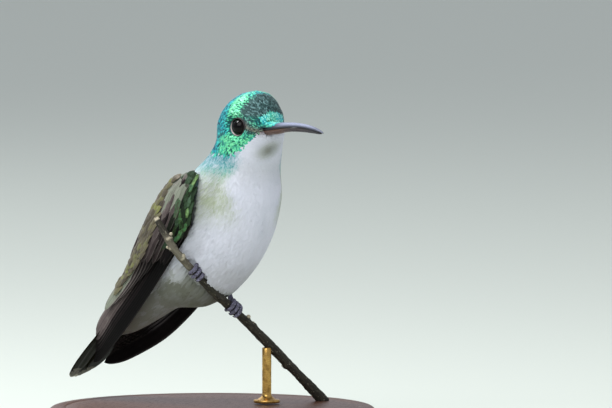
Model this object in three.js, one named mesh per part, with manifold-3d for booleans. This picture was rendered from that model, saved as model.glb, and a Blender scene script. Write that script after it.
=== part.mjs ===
// A life-size white-breasted emerald hummingbird that grips a slanting twig on a small display stand.
// Millimetres, +Z up. The bird's trunk lies in the XZ plane and faces +X; its right side is -Y.
// The origin is the centre of the stand base's underside.

import * as THREE from 'three';
import { LoftGeometry } from 'three/addons/geometries/LoftGeometry.js';
import { mergeVertices } from 'three/addons/utils/BufferGeometryUtils.js';
import Module from 'manifold-3d';

const wasm = await Module();
wasm.setup();

// ---------------------------------------------------------------- driving dimensions

const GAP = 0.3; // clearance between neighbouring solids
const ROOM = 0.38; // how much bigger a socket is cut than what sits in it, so that facets keep the clearance
const RIGHT = -1;
const LEFT = 1;
const DEGREE = Math.PI / 180;

// The head's sizes from its middle; how far its crown leans forward, its forehead falls back and it turns.
const HEAD = {
	x: 9.8, z: 60.3, back: 7.4, front: 7.0, halfWidth: 6.2, crown: 6.7, lean: 1.3, brow: 0.1, yaw: 19,
};
const BILL = {
	length: 18.6, inset: 2.3, seat: 6.9, // how far it stands out, is sunk in, and starts from the head's centre
	drop: 0.35, rise: 7, fall: 2.0, // its start's height, its first slope in degrees, and its fall to the tip
	halfHeight: 1.25, tipHalfHeight: 0.62, halfWidth: 1.45, tipHalfWidth: 0.5,
	lowerShare: 0.975,
};
const EYE = { radius: 1.75, forward: 2.3, side: 3.95, up: -0.1 };
const TAIL = { root: [-16.3, 28.2], tip: [-35.4, 9.1], halfSpread: 3.2, featherHalfWidth: 1.9, step: 0.22 };
const BLADE = { thickness: 0.55, stagger: 0.14, halfWidth: 1.5 };
const TWIG = { tipRadius: 0.62, rootRadius: 1.05 };
// A toe's radius and its distance along the twig from the next; the angles round the twig where the shank
// comes down and through which the outer, middle and hind toes wrap.
const TOE = { radius: 0.4, spacing: 1.1, top: 118, outerWrap: -205, middleWrap: -220, hindWrap: 105 };
const SHANK = { hipRadius: 0.6, ankleRadius: 0.42 };
const BASE = { radius: 32, height: 5, edge: 1.4 };
const ROD = { radius: 0.9, footRadius: 2.6, footEdge: 0.5, footHeight: 1.6, along: 0.66 };

// Stations of the body below the head, from the cheeks to the end of the tail coverts:
// centre x, z; downward pitch of the spine; half-depth of the back and of the breast; half-width.
const BODY_STATIONS = [
	{ x: 9.3, z: 56.8, pitch: 86, back: 6.8, breast: 6.7, halfWidth: 6.2 },
	{ x: 8.2, z: 53.2, pitch: 78, back: 7.1, breast: 6.8, halfWidth: 7.0 },
	{ x: 6.3, z: 48.8, pitch: 67, back: 8.4, breast: 9.3, halfWidth: 8.5 },
	{ x: 3.6, z: 44.2, pitch: 57, back: 9.4, breast: 11.0, halfWidth: 9.2 },
	{ x: 0.3, z: 40.0, pitch: 49, back: 10.3, breast: 11.8, halfWidth: 9.2 },
	{ x: -3.8, z: 35.8, pitch: 44, back: 11.0, breast: 11.7, halfWidth: 8.6 },
	{ x: -8.3, z: 31.6, pitch: 42, back: 10.4, breast: 9.6, halfWidth: 7.4 },
	{ x: -12.7, z: 27.8, pitch: 41, back: 8.2, breast: 5.3, halfWidth: 6.0 },
	{ x: -17.0, z: 24.2, pitch: 40, back: 5.2, breast: 4.0, halfWidth: 4.5 },
	{ x: -21.4, z: 20.6, pitch: 40, back: 2.4, breast: 2.6, halfWidth: 3.0 },
	{ x: -25.0, z: 17.5, pitch: 40, back: 0, breast: 0, halfWidth: 0 },
];
const BODY_CUTS = [0.33, 0.45, 0.8]; // shares of the body's run: head, neck, trunk, tail coverts

// The left wing's middle hangs lower than the right's, its tip reaches further and spreads wider.
const LEFT_WING = { droop: 2.6, reach: 1.2, spread: 0.2 };

// Edges of the folded right wing, on the bird's flank: the leading edge faces down and forward.
const WING_LEADING_EDGE = [
	[4.9, -9.3, 50.8], [4.1, -10.4, 45.6], [2.6, -10.4, 39.8], [-1.9, -9.6, 34.5],
	[-6.9, -8.8, 28.7], [-16.1, -7.0, 19.4], [-22.5, -4.6, 14.9], [-27.6, -2.4, 12.2],
];
const WING_BACK_EDGE = [
	[1.2, -7.4, 52.2], [-2.7, -8.0, 48.6], [-7.6, -7.6, 42.6], [-12.0, -6.8, 35.4],
	[-15.6, -6.0, 30.2], [-21.0, -5.0, 24.4], [-25.6, -4.0, 18.4], [-27.9, -2.6, 13.4],
];

// A fan of flight feathers: its count; the share of the wing's run where the quills start; the shares of the
// wing's breadth where first and last start and end; how far along the first and last reach; its height.
const PRIMARIES = {
	count: 10, start: 0.14, from: [0.16, 0.66], to: [0.4, 1], reach: [1, 0.7], ease: 1.3, height: 0,
};
const SECONDARIES = {
	count: 6, start: 0.24, from: [0.5, 0.84], to: [0.6, 0.98], reach: [0.56, 0.66], ease: 1, height: 1.0,
};
const ARM = { reach: 0.4, middle: 0.42, halfBreadth: 0.5, halfThickness: 1.0 };

// The twig's run from its broken tip down to the base, and where the two feet hold it.
const TWIG_RUN = [
	[-3.4, -13.1, 42.3], [0.3, -11.9, 36.2], [1.3, -7.7, 32.1], [2.8, -3.3, 27.8],
	[3.5, 1.8, 24.2], [5.1, 9.0, 18.3], [6.7, 14.4, 13.3], [8.4, 20.1, 8.0], [9.5, 23.9, 4.4],
];
const FEET = [
	{ side: RIGHT, along: 0.248, hip: [-0.6, -4.4, 35.5] },
	{ side: LEFT, along: 0.46, hip: [0.6, 3.0, 29.5] },
];
const BUDS = [
	{ along: 0.09, turn: 75, length: 1.2, radius: 0.5 },
	{ along: 0.11, turn: 250, length: 0.8, radius: 0.45 },
	{ along: 0.54, turn: 50, length: 0.9, radius: 0.6 },
];

// ---------------------------------------------------------------- small helpers

const vec = (x, y, z) => new THREE.Vector3(x, y, z);
const lerp = THREE.MathUtils.lerp;
const smooth = THREE.MathUtils.smoothstep;

// A closed geometry as a manifold-3d solid, with faces of no area dropped and the faces turned outwards.
function solidOf(geometry) {
	const bare = new THREE.BufferGeometry();
	bare.setAttribute('position', geometry.getAttribute('position').clone());
	bare.setIndex(geometry.index);
	const merged = mergeVertices(bare, 1e-4);
	const corners = [...merged.index.array];
	const triVerts = [];
	for (let i = 0; i < corners.length; i += 3) {
		const [a, b, c] = corners.slice(i, i + 3);
		if (a !== b && b !== c && c !== a) triVerts.push(a, b, c);
	}
	const make = (indices) => new wasm.Manifold(new wasm.Mesh({
		numProp: 3,
		vertProperties: merged.attributes.position.array,
		triVerts: new Uint32Array(indices),
	}));
	const made = make(triVerts);
	return made.volume() > 0 ? made : make(triVerts.reverse());
}

// A manifold-3d solid as a named mesh.
function meshOf(name, solid, material) {
	const { vertProperties, triVerts } = solid.getMesh();
	const geometry = new THREE.BufferGeometry();
	geometry.setAttribute('position', new THREE.BufferAttribute(vertProperties, 3));
	geometry.setIndex(new THREE.BufferAttribute(triVerts, 1));
	geometry.computeVertexNormals();
	const mesh = new THREE.Mesh(geometry, material);
	mesh.name = name;
	return mesh;
}

const union = (solids) => solids.reduce((whole, piece) => whole.add(piece));
const without = (solid, others) => others.reduce((rest, other) => rest.subtract(other), solid);
const largest = (solid) => solid.decompose().sort((a, b) => b.volume() - a.volume())[0];

// The area vector of a ring of points: its direction is the way the ring faces.
function facingOf(ring) {
	const area = vec(0, 0, 0);
	ring.forEach((here, i) => area.add(vec(0, 0, 0).crossVectors(here, ring[(i + 1) % ring.length])));
	return area;
}

// A loft through rings of points; ringAt(t) gives the ring at t from 0 to 1.
function loft(ringAt, steps) {
	const rings = Array.from({ length: steps + 1 }, (_, i) => ringAt(i / steps));
	const middle = Math.floor(steps / 2);
	const onward = rings[middle + 1][0].clone().sub(rings[middle][0]);
	if (facingOf(rings[middle]).dot(onward) < 0) rings.forEach((ring) => ring.reverse());
	return solidOf(new LoftGeometry(rings, { capStart: true, capEnd: true }));
}

// Two directions square to a run, steady along it: one as near to `up` as can be.
function crossFrame(along, up) {
	const side = vec(0, 0, 0).crossVectors(along, up).normalize();
	return { side, over: vec(0, 0, 0).crossVectors(side, along).normalize() };
}

// A round limb of changing radius along a curve.
function limb(curve, radiusAt, sides, steps, up = vec(0, 0.3, 1)) {
	return loft((t) => {
		const centre = curve.getPointAt(t);
		const { side, over } = crossFrame(curve.getTangentAt(t), up);
		return Array.from({ length: sides }, (_, i) => {
			const turn = 2 * Math.PI * i / sides;
			return centre.clone()
				.addScaledVector(side, radiusAt(t) * Math.cos(turn))
				.addScaledVector(over, radiusAt(t) * Math.sin(turn));
		});
	}, steps);
}

// The share of its full width that a feather has at t: its last fifth is rounded off.
const tipRounding = (t) => Math.sqrt(Math.max(0.02, 1 - Math.max(0, (t - 0.8) / 0.2) ** 2));

// ---------------------------------------------------------------- head, neck and trunk

// The crown is a dome over the head's widest level, so its stations follow a quarter turn.
const domeStations = [2, 25, 48, 70, 90].map((turn) => {
	const share = Math.sin(turn * DEGREE);
	const height = Math.cos(turn * DEGREE);
	return {
		x: HEAD.x + HEAD.lean * height, z: HEAD.z + HEAD.crown * height, pitch: 90,
		back: HEAD.back * share, breast: HEAD.front * share, halfWidth: HEAD.halfWidth * share,
	};
});
const stations = [...domeStations, ...BODY_STATIONS];
const curveThrough = (pick) => new THREE.CatmullRomCurve3(stations.map(pick));
const bodyCentre = curveThrough((s) => vec(s.x, 0, s.z));
const bodySizes = curveThrough((s) => vec(s.back, s.breast, s.halfWidth));
const bodyPitch = curveThrough((s) => vec(s.pitch, 0, 0));

// The plane of a body section: its centre, the way towards the breast, the way to the left, and its sizes.
// The head is turned to the bird's right; the turn fades out down the neck.
function bodySection(t) {
	const pitch = bodyPitch.getPoint(t).x * DEGREE;
	const turned = new THREE.Euler(0, 0, -HEAD.yaw * DEGREE * (1 - smooth(t, 0.26, 0.5)));
	const [back, breast, halfWidth] = bodySizes.getPoint(t).toArray();
	return {
		centre: bodyCentre.getPoint(t),
		forward: vec(Math.sin(pitch), 0, -Math.cos(pitch)).applyEuler(turned),
		left: vec(0, 1, 0).applyEuler(turned),
		down: vec(-Math.cos(pitch), 0, -Math.sin(pitch)).applyEuler(turned),
		back: Math.max(back, 0.02), breast: Math.max(breast, 0.02), halfWidth: Math.max(halfWidth, 0.02),
		brow: HEAD.brow * (1 - smooth(t, 0.14, 0.27)),
	};
}

function bodySolid() {
	const AROUND = 20;
	return loft((t) => {
		const s = bodySection(t);
		return Array.from({ length: AROUND }, (_, i) => {
			const turn = 2 * Math.PI * i / AROUND;
			const depth = Math.cos(turn) > 0 ? s.breast : s.back;
			const share = 1 - s.brow * smooth(Math.cos(turn), 0, 0.55);
			return s.centre.clone()
				.addScaledVector(s.forward, share * depth * Math.cos(turn))
				.addScaledVector(s.left, share * s.halfWidth * Math.sin(turn));
		});
	}, 26);
}

// The nearest body section to a place, found by halving the run towards it.
function sectionNear(place) {
	let [low, high] = [0, 1];
	for (let i = 0; i < 24; i++) {
		const middle = (low + high) / 2;
		const s = bodySection(middle);
		if (place.clone().sub(s.centre).dot(s.down) > 0) low = middle;
		else high = middle;
	}
	return bodySection((low + high) / 2);
}

// A place moved out of the body until it is `clearance` off its surface, then lifted by `height` more.
function offBody(place, clearance, height) {
	const s = sectionNear(place);
	const offset = place.clone().sub(s.centre);
	const forward = offset.dot(s.forward);
	const left = offset.dot(s.left);
	const depth = (forward > 0 ? s.breast : s.back) + clearance;
	const halfWidth = s.halfWidth + clearance;
	const share = Math.min(1, Math.hypot(forward / depth, left / halfWidth));
	const out = vec(0, 0, 0)
		.addScaledVector(s.forward, forward / depth ** 2)
		.addScaledVector(s.left, left / halfWidth ** 2)
		.normalize();
	return s.centre.clone()
		.addScaledVector(s.forward, forward / share)
		.addScaledVector(s.left, left / share)
		.addScaledVector(s.down, offset.dot(s.down))
		.addScaledVector(out, height);
}

// The parting plane across the body at t, as a thin slab.
function partingSlab(t) {
	const s = bodySection(t);
	const slab = new THREE.BoxGeometry(40, 40, GAP);
	slab.applyMatrix4(new THREE.Matrix4().makeBasis(s.forward, s.left, s.down).setPosition(s.centre));
	return solidOf(slab);
}

const headTurn = new THREE.Euler(0, 0, -HEAD.yaw * DEGREE);
const headPoint = (forward, left, up) => (
	vec(forward, left, up).applyEuler(headTurn).add(vec(HEAD.x, 0, HEAD.z))
);

// ---------------------------------------------------------------- bill and eyes

// The bill leaves the face a little upwards and curves down towards its tip.
const billCurve = new THREE.CatmullRomCurve3(Array.from({ length: 9 }, (_, i) => {
	const out = -BILL.inset + (BILL.length + BILL.inset) * i / 8;
	const share = Math.max(out, 0) / BILL.length;
	const rise = out * Math.tan(BILL.rise * DEGREE) - BILL.fall * share ** 2.6;
	return headPoint(BILL.seat + out, 0, -BILL.drop + rise);
}));

// Half of the bill: the upper mandible runs just past the lower.
function mandible(isUpper) {
	const RING = 8;
	const TIP = 0.08;
	const run = isUpper ? 1 : BILL.lowerShare;
	const way = isUpper ? 1 : -1;
	return loft((t) => {
		const rounding = Math.sqrt(1 - t ** 6);
		const height = lerp(BILL.halfHeight, BILL.tipHalfHeight, smooth(t, 0, 0.75)) * rounding + TIP;
		const halfWidth = lerp(BILL.halfWidth, BILL.tipHalfWidth, smooth(t, 0, 0.85)) * rounding + TIP;
		const centre = billCurve.getPointAt(t * run);
		const { side, over } = crossFrame(billCurve.getTangentAt(t * run), vec(0, 0, 1));
		return Array.from({ length: RING }, (_, i) => {
			const turn = Math.PI * i / (RING - 1);
			return centre.clone()
				.addScaledVector(side, halfWidth * Math.cos(turn))
				.addScaledVector(over, way * (GAP / 2 + height * Math.sin(turn)));
		});
	}, 12);
}

// The round socket that the root of the bill sits in.
function billSocket() {
	const back = billCurve.getPointAt(0).addScaledVector(billCurve.getTangentAt(0), -ROOM);
	const radius = BILL.halfWidth + GAP / 2 + ROOM;
	return limb(new THREE.LineCurve3(back, billCurve.getPointAt(0.3)), () => radius, 10, 1);
}

function eyeBall(side, grow = 0) {
	const ball = new THREE.SphereGeometry(EYE.radius + grow, 12, 8);
	ball.translate(...headPoint(EYE.forward, side * EYE.side, EYE.up).toArray());
	return solidOf(ball);
}

// ---------------------------------------------------------------- twig and feet

const point = (xyz) => vec(...xyz);
const twigCurve = new THREE.CatmullRomCurve3(TWIG_RUN.map(point));
const twigRadius = (t) => lerp(TWIG.tipRadius, TWIG.rootRadius, t ** 0.8) * (1 + 0.07 * Math.sin(21 * t));

function twigSolid(grow = 0) {
	const stem = limb(twigCurve, (t) => twigRadius(t) + grow, 8, 20, vec(1, 0, 0));
	const buds = BUDS.map((bud) => {
		const start = twigCurve.getPointAt(bud.along);
		const { side, over } = crossFrame(twigCurve.getTangentAt(bud.along), vec(0, 0, 1));
		const out = side
			.multiplyScalar(Math.cos(bud.turn * DEGREE))
			.addScaledVector(over, Math.sin(bud.turn * DEGREE));
		const end = start.clone().addScaledVector(out, twigRadius(bud.along) + bud.length);
		return limb(new THREE.LineCurve3(start, end), (t) => bud.radius * (1 - 0.35 * t) + grow, 6, 1);
	});
	const floor = new THREE.BoxGeometry(80, 80, 20).translate(0, 0, BASE.height + GAP - grow - 10);
	return union([stem, ...buds]).subtract(solidOf(floor));
}

// A point beside the twig where a foot holds it: `turn` degrees round it, `reach` off its middle.
function roundTwig(foot, turn, reach, shift = 0) {
	const along = twigCurve.getTangentAt(foot.along);
	const { side, over } = crossFrame(along, vec(0, 0, 1));
	return twigCurve.getPointAt(foot.along)
		.addScaledVector(along, shift)
		.addScaledVector(side, reach * Math.cos(turn * DEGREE))
		.addScaledVector(over, reach * Math.sin(turn * DEGREE));
}

// One toe wraps round the twig through `sweep` degrees, `shift` along it, and narrows to its claw.
function toe(foot, sweep, shift) {
	const reach = twigRadius(foot.along) + TOE.radius + GAP;
	const run = Array.from({ length: 9 }, (_, i) => {
		const share = i / 8;
		return roundTwig(foot, TOE.top + sweep * share, reach, shift * smooth(share, 0, 0.35));
	});
	const radius = (t) => TOE.radius * (t < 0.72 ? 1 - 0.12 * t : lerp(0.9, 0.35, (t - 0.72) / 0.28));
	return limb(new THREE.CatmullRomCurve3(run), radius, 6, 7, twigCurve.getTangentAt(foot.along));
}

// Three toes go over the front of the twig and the hind toe goes under its back.
function footSolid(foot) {
	return union([
		toe(foot, TOE.outerWrap, -TOE.spacing), toe(foot, TOE.middleWrap, 0),
		toe(foot, TOE.outerWrap, TOE.spacing), toe(foot, TOE.hindWrap, 0),
	]);
}

// The room that a foot needs among the belly feathers: a sleeve round the twig.
function footRoom(foot) {
	const reach = TOE.spacing + TOE.radius + ROOM;
	const along = twigCurve.getTangentAt(foot.along).multiplyScalar(reach);
	const middle = twigCurve.getPointAt(foot.along);
	const sleeve = new THREE.LineCurve3(middle.clone().sub(along), middle.clone().add(along));
	return limb(sleeve, () => twigRadius(foot.along) + 2 * TOE.radius + GAP + ROOM, 10, 1);
}

// The short shank runs from inside the belly feathers to just above the toes.
function shankSolid(foot, grow = 0) {
	const hip = point(foot.hip);
	const ankle = roundTwig(foot, TOE.top, twigRadius(foot.along) + 2 * TOE.radius + GAP + ROOM);
	const over = ankle.clone().sub(hip).normalize().multiplyScalar(grow);
	const radius = (t) => lerp(SHANK.hipRadius, SHANK.ankleRadius, t) + grow;
	return limb(new THREE.LineCurve3(hip.sub(over), ankle.add(over)), radius, 8, 1);
}

// ---------------------------------------------------------------- wings

const leadingEdge = new THREE.CatmullRomCurve3(WING_LEADING_EDGE.map(point));
const backEdge = new THREE.CatmullRomCurve3(WING_BACK_EDGE.map(point));

// The right wing's surface: s runs from the wrist to the tip, w from the leading edge to the back edge.
// `height` lifts it off the body. The left wing is the same surface mirrored.
function wingPoint(s, w, height, side) {
	const spread = side === LEFT ? 1 + LEFT_WING.spread * smooth(s, 0.6, 0.95) : 1;
	const at = leadingEdge.getPoint(s).lerp(backEdge.getPoint(s), w * spread);
	if (side === LEFT) {
		at.z -= LEFT_WING.droop * Math.sin(Math.PI * s) * (1 - w);
		at.addScaledVector(leadingEdge.getTangent(1), LEFT_WING.reach * s ** 2);
	}
	return offBody(at, GAP + 0.2, height).multiply(vec(1, -side, 1));
}

// One flight feather of a fan laid on the wing surface, as a thin blade.
// `inward` runs from 0 to 1 over the fan.
function blade(side, fan, inward, stagger) {
	const reach = lerp(...fan.reach, inward ** fan.ease);
	const low = fan.height + stagger;
	const high = low + BLADE.thickness;
	return loft((t) => {
		const s = lerp(fan.start, reach, t);
		const w = lerp(lerp(...fan.from, inward), lerp(...fan.to, inward), t);
		const breadth = leadingEdge.getPoint(s).distanceTo(backEdge.getPoint(s)) + BLADE.halfWidth / 2;
		const half = BLADE.halfWidth * tipRounding(t) / breadth;
		return [[w - half, low], [w + half, low], [w + half, high], [w - half, high]]
			.map(([across, height]) => wingPoint(s, across, height, side));
	}, 5);
}

const featherFan = (side, fan) => union(Array.from({ length: fan.count }, (_, i) => (
	blade(side, fan, i / (fan.count - 1), BLADE.stagger * (i % 2))
)));

// The folded arm under its small coverts: a rounded cushion at the front of the wing.
function armSolid(side, grow = 0) {
	const AROUND = 10;
	const end = ARM.reach + grow / leadingEdge.getLength();
	return loft((t) => {
		const s = lerp(0, end, t);
		const swell = Math.sqrt(Math.max(0.01, 1 - (2 * t - 1) ** 2)) ** 0.7;
		const halfBreadth = ARM.halfBreadth * swell + grow / backEdge.getPoint(s).distanceTo(leadingEdge.getPoint(s));
		return Array.from({ length: AROUND }, (_, i) => {
			const turn = 2 * Math.PI * i / AROUND;
			const height = ARM.halfThickness + (ARM.halfThickness * swell + grow) * Math.sin(turn);
			return wingPoint(s, ARM.middle + halfBreadth * Math.cos(turn), height, side);
		});
	}, 8);
}

// ---------------------------------------------------------------- tail

const tailRoot = vec(TAIL.root[0], 0, TAIL.root[1]);
const tailRun = vec(TAIL.tip[0], 0, TAIL.tip[1]).sub(tailRoot);
const tailUp = vec(0, 0, 0).crossVectors(vec(0, 1, 0), tailRun).normalize();
const tailSpread = (t) => TAIL.halfSpread * Math.sin(Math.PI * lerp(0.2, 0.8, t));

// Ten rectrices: the middle pair lies on top and each outer pair is a little lower and shorter.
function tailSolid() {
	return union([-5, -4, -3, -2, -1, 1, 2, 3, 4, 5].map((place) => {
		const rank = Math.abs(place);
		const out = Math.sign(place) * (rank - 0.5) / 4.5;
		return loft((t) => {
			const centre = tailRoot.clone()
				.addScaledVector(tailRun, t * (1 - 0.1 * out ** 2))
				.addScaledVector(tailUp, -TAIL.step * rank);
			centre.y = out * tailSpread(t);
			const half = TAIL.featherHalfWidth * lerp(0.5, 1, t) * tipRounding(t);
			const thick = BLADE.thickness / 2;
			return [[-half, -thick], [half, -thick], [half, thick * 0.6], [0, thick], [-half, thick * 0.6]]
				.map(([y, z]) => centre.clone().add(vec(0, y, 0)).addScaledVector(tailUp, z));
		}, 5);
	}));
}

// The room the whole tail needs among its coverts and between the wings.
function tailRoomSolid() {
	const top = BLADE.thickness / 2 - TAIL.step + ROOM;
	const bottom = -BLADE.thickness / 2 - 5 * TAIL.step - ROOM;
	return loft((t) => {
		const centre = tailRoot.clone().addScaledVector(tailRun, lerp(-0.02, 1.05, t));
		const half = tailSpread(t) + TAIL.featherHalfWidth * lerp(0.5, 1, t) + ROOM;
		return [[-half, bottom], [half, bottom], [half, top], [-half, top]]
			.map(([y, z]) => centre.clone().add(vec(0, y, 0)).addScaledVector(tailUp, z));
	}, 6);
}

// ---------------------------------------------------------------- stand

function baseSolid() {
	const profile = new THREE.Path();
	profile.moveTo(0, 0);
	profile.lineTo(BASE.radius - 0.4, 0);
	profile.lineTo(BASE.radius, 0.4);
	profile.lineTo(BASE.radius, BASE.height - BASE.edge);
	profile.absarc(BASE.radius - BASE.edge, BASE.height - BASE.edge, BASE.edge, 0, Math.PI / 2);
	profile.lineTo(0, BASE.height);
	return solidOf(new THREE.LatheGeometry(profile.getPoints(2), 40).rotateX(Math.PI / 2));
}

// A plain rod with a flared foot, up to the underside of the twig.
function rodSolid(twig) {
	const top = twigCurve.getPointAt(ROD.along);
	const height = top.z - BASE.height;
	const profile = [
		[0, 0], [ROD.footRadius, 0], [ROD.footRadius, ROD.footEdge],
		[ROD.radius, ROD.footHeight], [ROD.radius, height], [0, height],
	].map(([r, z]) => new THREE.Vector2(r, z));
	const rod = new THREE.LatheGeometry(profile, 16)
		.rotateX(Math.PI / 2)
		.translate(top.x, top.y, BASE.height + GAP);
	return largest(solidOf(rod).subtract(twig));
}

// ---------------------------------------------------------------- assembly

const finish = (color, roughness, metalness = 0) => (
	new THREE.MeshStandardMaterial({ color, roughness, metalness })
);
const materials = {
	white: finish(0xd9dbe0, 0.85),
	emerald: finish(0x1fa878, 0.4, 0.4),
	bronze: finish(0x4a4a33, 0.6, 0.2),
	flight: finish(0x241d1d, 0.6),
	horn: finish(0x2a2630, 0.4),
	eye: finish(0x060505, 0.1),
	skin: finish(0x2b2733, 0.6),
	bark: finish(0x5a4d3e, 0.9),
	wood: finish(0x4a2f1e, 0.5),
	brass: finish(0xb08d4a, 0.3, 1),
};

const hummingbird = new THREE.Group();
hummingbird.name = 'hummingbird';
const add = (name, solid, material) => hummingbird.add(meshOf(name, solid, material));

const twig = twigSolid();
const twigRoom = twigSolid(ROOM);
const tailRoom = tailRoomSolid();

const feet = FEET.map((foot) => ({
	name: foot.side === RIGHT ? 'right' : 'left',
	toes: footSolid(foot),
	shank: shankSolid(foot),
	room: footRoom(foot).add(shankSolid(foot, ROOM)),
}));

const bill = { upper: mandible(true), lower: mandible(false) };
const eyes = { right: eyeBall(RIGHT), left: eyeBall(LEFT) };

const body = without(bodySolid(), [
	twigRoom, tailRoom, billSocket(), eyeBall(RIGHT, ROOM), eyeBall(LEFT, ROOM),
	...feet.map((foot) => foot.room),
]);
const bodyParts = without(body, BODY_CUTS.map(partingSlab)).decompose()
	.filter((piece) => piece.volume() > 1)
	.sort((a, b) => b.boundingBox().max[2] - a.boundingBox().max[2]);
const [head, neck, trunk, coverts] = bodyParts;

add('head', head, materials.emerald);
add('neck', neck, materials.white);
add('trunk', trunk, materials.white);
add('tail_coverts', coverts, materials.white);
add('bill_upper', bill.upper, materials.horn);
add('bill_lower', bill.lower, materials.horn);
add('eye_right', eyes.right, materials.eye);
add('eye_left', eyes.left, materials.eye);
add('tail', tailSolid(), materials.bronze);

for (const side of [RIGHT, LEFT]) {
	const name = side === RIGHT ? 'right' : 'left';
	const room = [armSolid(side, ROOM), tailRoom];
	add(`wing_${name}_arm`, armSolid(side), materials.bronze);
	add(`wing_${name}_secondaries`, largest(without(featherFan(side, SECONDARIES), room)), materials.flight);
	add(`wing_${name}_primaries`, largest(without(featherFan(side, PRIMARIES), room)), materials.flight);
}

for (const foot of feet) {
	add(`leg_${foot.name}`, foot.shank, materials.skin);
	add(`foot_${foot.name}`, foot.toes, materials.skin);
}

add('perch', twig, materials.bark);
add('stand_base', baseSolid(), materials.wood);
add('stand_rod', rodSolid(twigRoom), materials.brass);

export default hummingbird;
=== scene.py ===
import math
from itertools import product

import bpy
import numpy as np
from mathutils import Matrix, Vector, noise
from mathutils.bvhtree import BVHTree


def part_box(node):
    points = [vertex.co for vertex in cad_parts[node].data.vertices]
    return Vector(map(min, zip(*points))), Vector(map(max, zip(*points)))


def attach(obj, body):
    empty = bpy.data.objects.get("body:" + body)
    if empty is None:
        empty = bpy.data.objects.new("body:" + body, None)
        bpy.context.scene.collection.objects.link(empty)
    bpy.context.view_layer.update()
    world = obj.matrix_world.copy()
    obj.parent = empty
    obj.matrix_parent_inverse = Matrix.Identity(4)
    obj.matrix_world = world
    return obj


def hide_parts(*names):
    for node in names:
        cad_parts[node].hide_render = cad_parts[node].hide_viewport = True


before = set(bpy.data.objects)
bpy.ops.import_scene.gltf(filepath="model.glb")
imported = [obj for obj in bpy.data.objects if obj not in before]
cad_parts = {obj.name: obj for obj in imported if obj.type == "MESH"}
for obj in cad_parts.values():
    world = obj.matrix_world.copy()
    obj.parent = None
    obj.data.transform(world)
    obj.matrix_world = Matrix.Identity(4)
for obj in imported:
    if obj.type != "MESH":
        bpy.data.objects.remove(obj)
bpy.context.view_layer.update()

# ---------------------------------------------------------------- stand base
# A disc of dark hardwood, turned on a lathe with a rounded top edge and a fine scored ring,
# then oiled. It lies flat on the shelf and everything else stands on it.

MM = 0.001  # the sizes below are in millimetres
BASE_RADIUS, BASE_TOP, BASE_EDGE = 32, 5, 1.4
SCORED_RING = [(28.9, 5), (28.75, 4.94), (28.6, 4.82), (28.45, 4.82), (28.3, 4.94), (28.15, 5)]


class Wire:
    """A value in a finish; sums and products of wires add their Math nodes."""

    def __init__(self, tree, socket=None):
        self.tree, self.socket = tree, socket

    def node(self, kind, settings=None, sockets=None, out=0):
        """Adds a node: its settings first, then the values or wires of its sockets."""
        new = self.tree.nodes.new("ShaderNode" + kind)
        for name, value in (settings or {}).items():
            if name == "stops":
                stops = new.color_ramp.elements
                stops.remove(stops[1])
                stops[0].position, stops[0].color = value[0]
                for place, colour in value[1:]:
                    stops.new(place).color = colour
            else:
                setattr(new, name, value)
        for name, value in (sockets or {}).items():
            if isinstance(value, Wire):
                self.tree.links.new(value.socket, new.inputs[name])
            else:
                new.inputs[name].default_value = value
        return Wire(self.tree, new.outputs[out])

    def math(self, operation, *values):
        return self.node("Math", {"operation": operation}, dict(enumerate(values)))

    def __add__(self, other):
        return self.math("ADD", self, other)

    def __sub__(self, other):
        return self.math("SUBTRACT", self, other)

    def __rsub__(self, other):
        return self.math("SUBTRACT", other, self)

    def __mul__(self, other):
        return self.math("MULTIPLY", self, other)

    def __abs__(self):
        return self.math("ABSOLUTE", self)

    __radd__ = __add__
    __rmul__ = __mul__

    def squared(self):
        return self * self

    def wave(self):
        """A wave from 0 to 1."""
        return self.math("SINE") * 0.5 + 0.5

    def rise(self, low, high, start=0, end=1):
        """Goes smoothly from start to end while the value goes from low to high."""
        ends = {"From Min": low, "From Max": high, "To Min": start, "To Max": end}
        return self.node("MapRange", {"interpolation_type": "SMOOTHSTEP"}, {"Value": self, **ends})

    def ramp(self, *stops):
        return self.node("ValToRGB", {"stops": [(at, paint(c)) for at, c in stops]}, {0: self})

    def between(self, first, second):
        """The colour this share of the way from the first colour to the second."""
        first, second = (paint(c) if isinstance(c, str) else c for c in (first, second))
        return self.node("Mix", {"data_type": "RGBA"}, {0: self, 6: first, 7: second}, out=2)

    def noise(self, scale, detail=2.0, rough=0.5):
        sockets = {"Vector": self, "Scale": scale, "Detail": detail, "Roughness": rough}
        return self.node("TexNoise", {}, sockets)

    def stretched(self, x, y, z):
        return self.node("VectorMath", {"operation": "MULTIPLY"}, {0: self, 1: (x, y, z)})

    def place(self):
        """The place on the object in millimetres."""
        return self.node("TexCoord", out="Object").stretched(1 / MM, 1 / MM, 1 / MM)

    def carried(self, *names, out="Fac"):
        """What the mesh carries on its points under these names."""
        wires = [self.node("Attribute", {"attribute_name": name}, out=out) for name in names]
        return wires if len(names) > 1 else wires[0]

    def bump(self, height, strength, depth):
        sockets = {"Height": height, "Strength": strength, "Distance": depth * MM}
        return self.node("Bump", {}, sockets)


def paint(colour):
    """A colour written as #rrggbb, as the shader's linear red, green, blue and alpha."""
    parts = [int(colour[i:i + 2], 16) / 255 for i in (1, 3, 5)]
    return (*(p / 12.92 if p < 0.04045 else ((p + 0.055) / 1.055) ** 2.4 for p in parts), 1.0)


def finish(name, wires, **constants):
    """A material whose changing sockets come from wires(start) and whose others are set."""
    material = bpy.data.materials.new(name)
    material.use_nodes = True
    shader = material.node_tree.nodes["Principled BSDF"]
    for socket, value in constants.items():
        shader.inputs[socket.replace("_", " ")].default_value = value
    for socket, wire in wires(Wire(material.node_tree)).items():
        material.node_tree.links.new(wire.socket, shader.inputs[socket])
    return material


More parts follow.
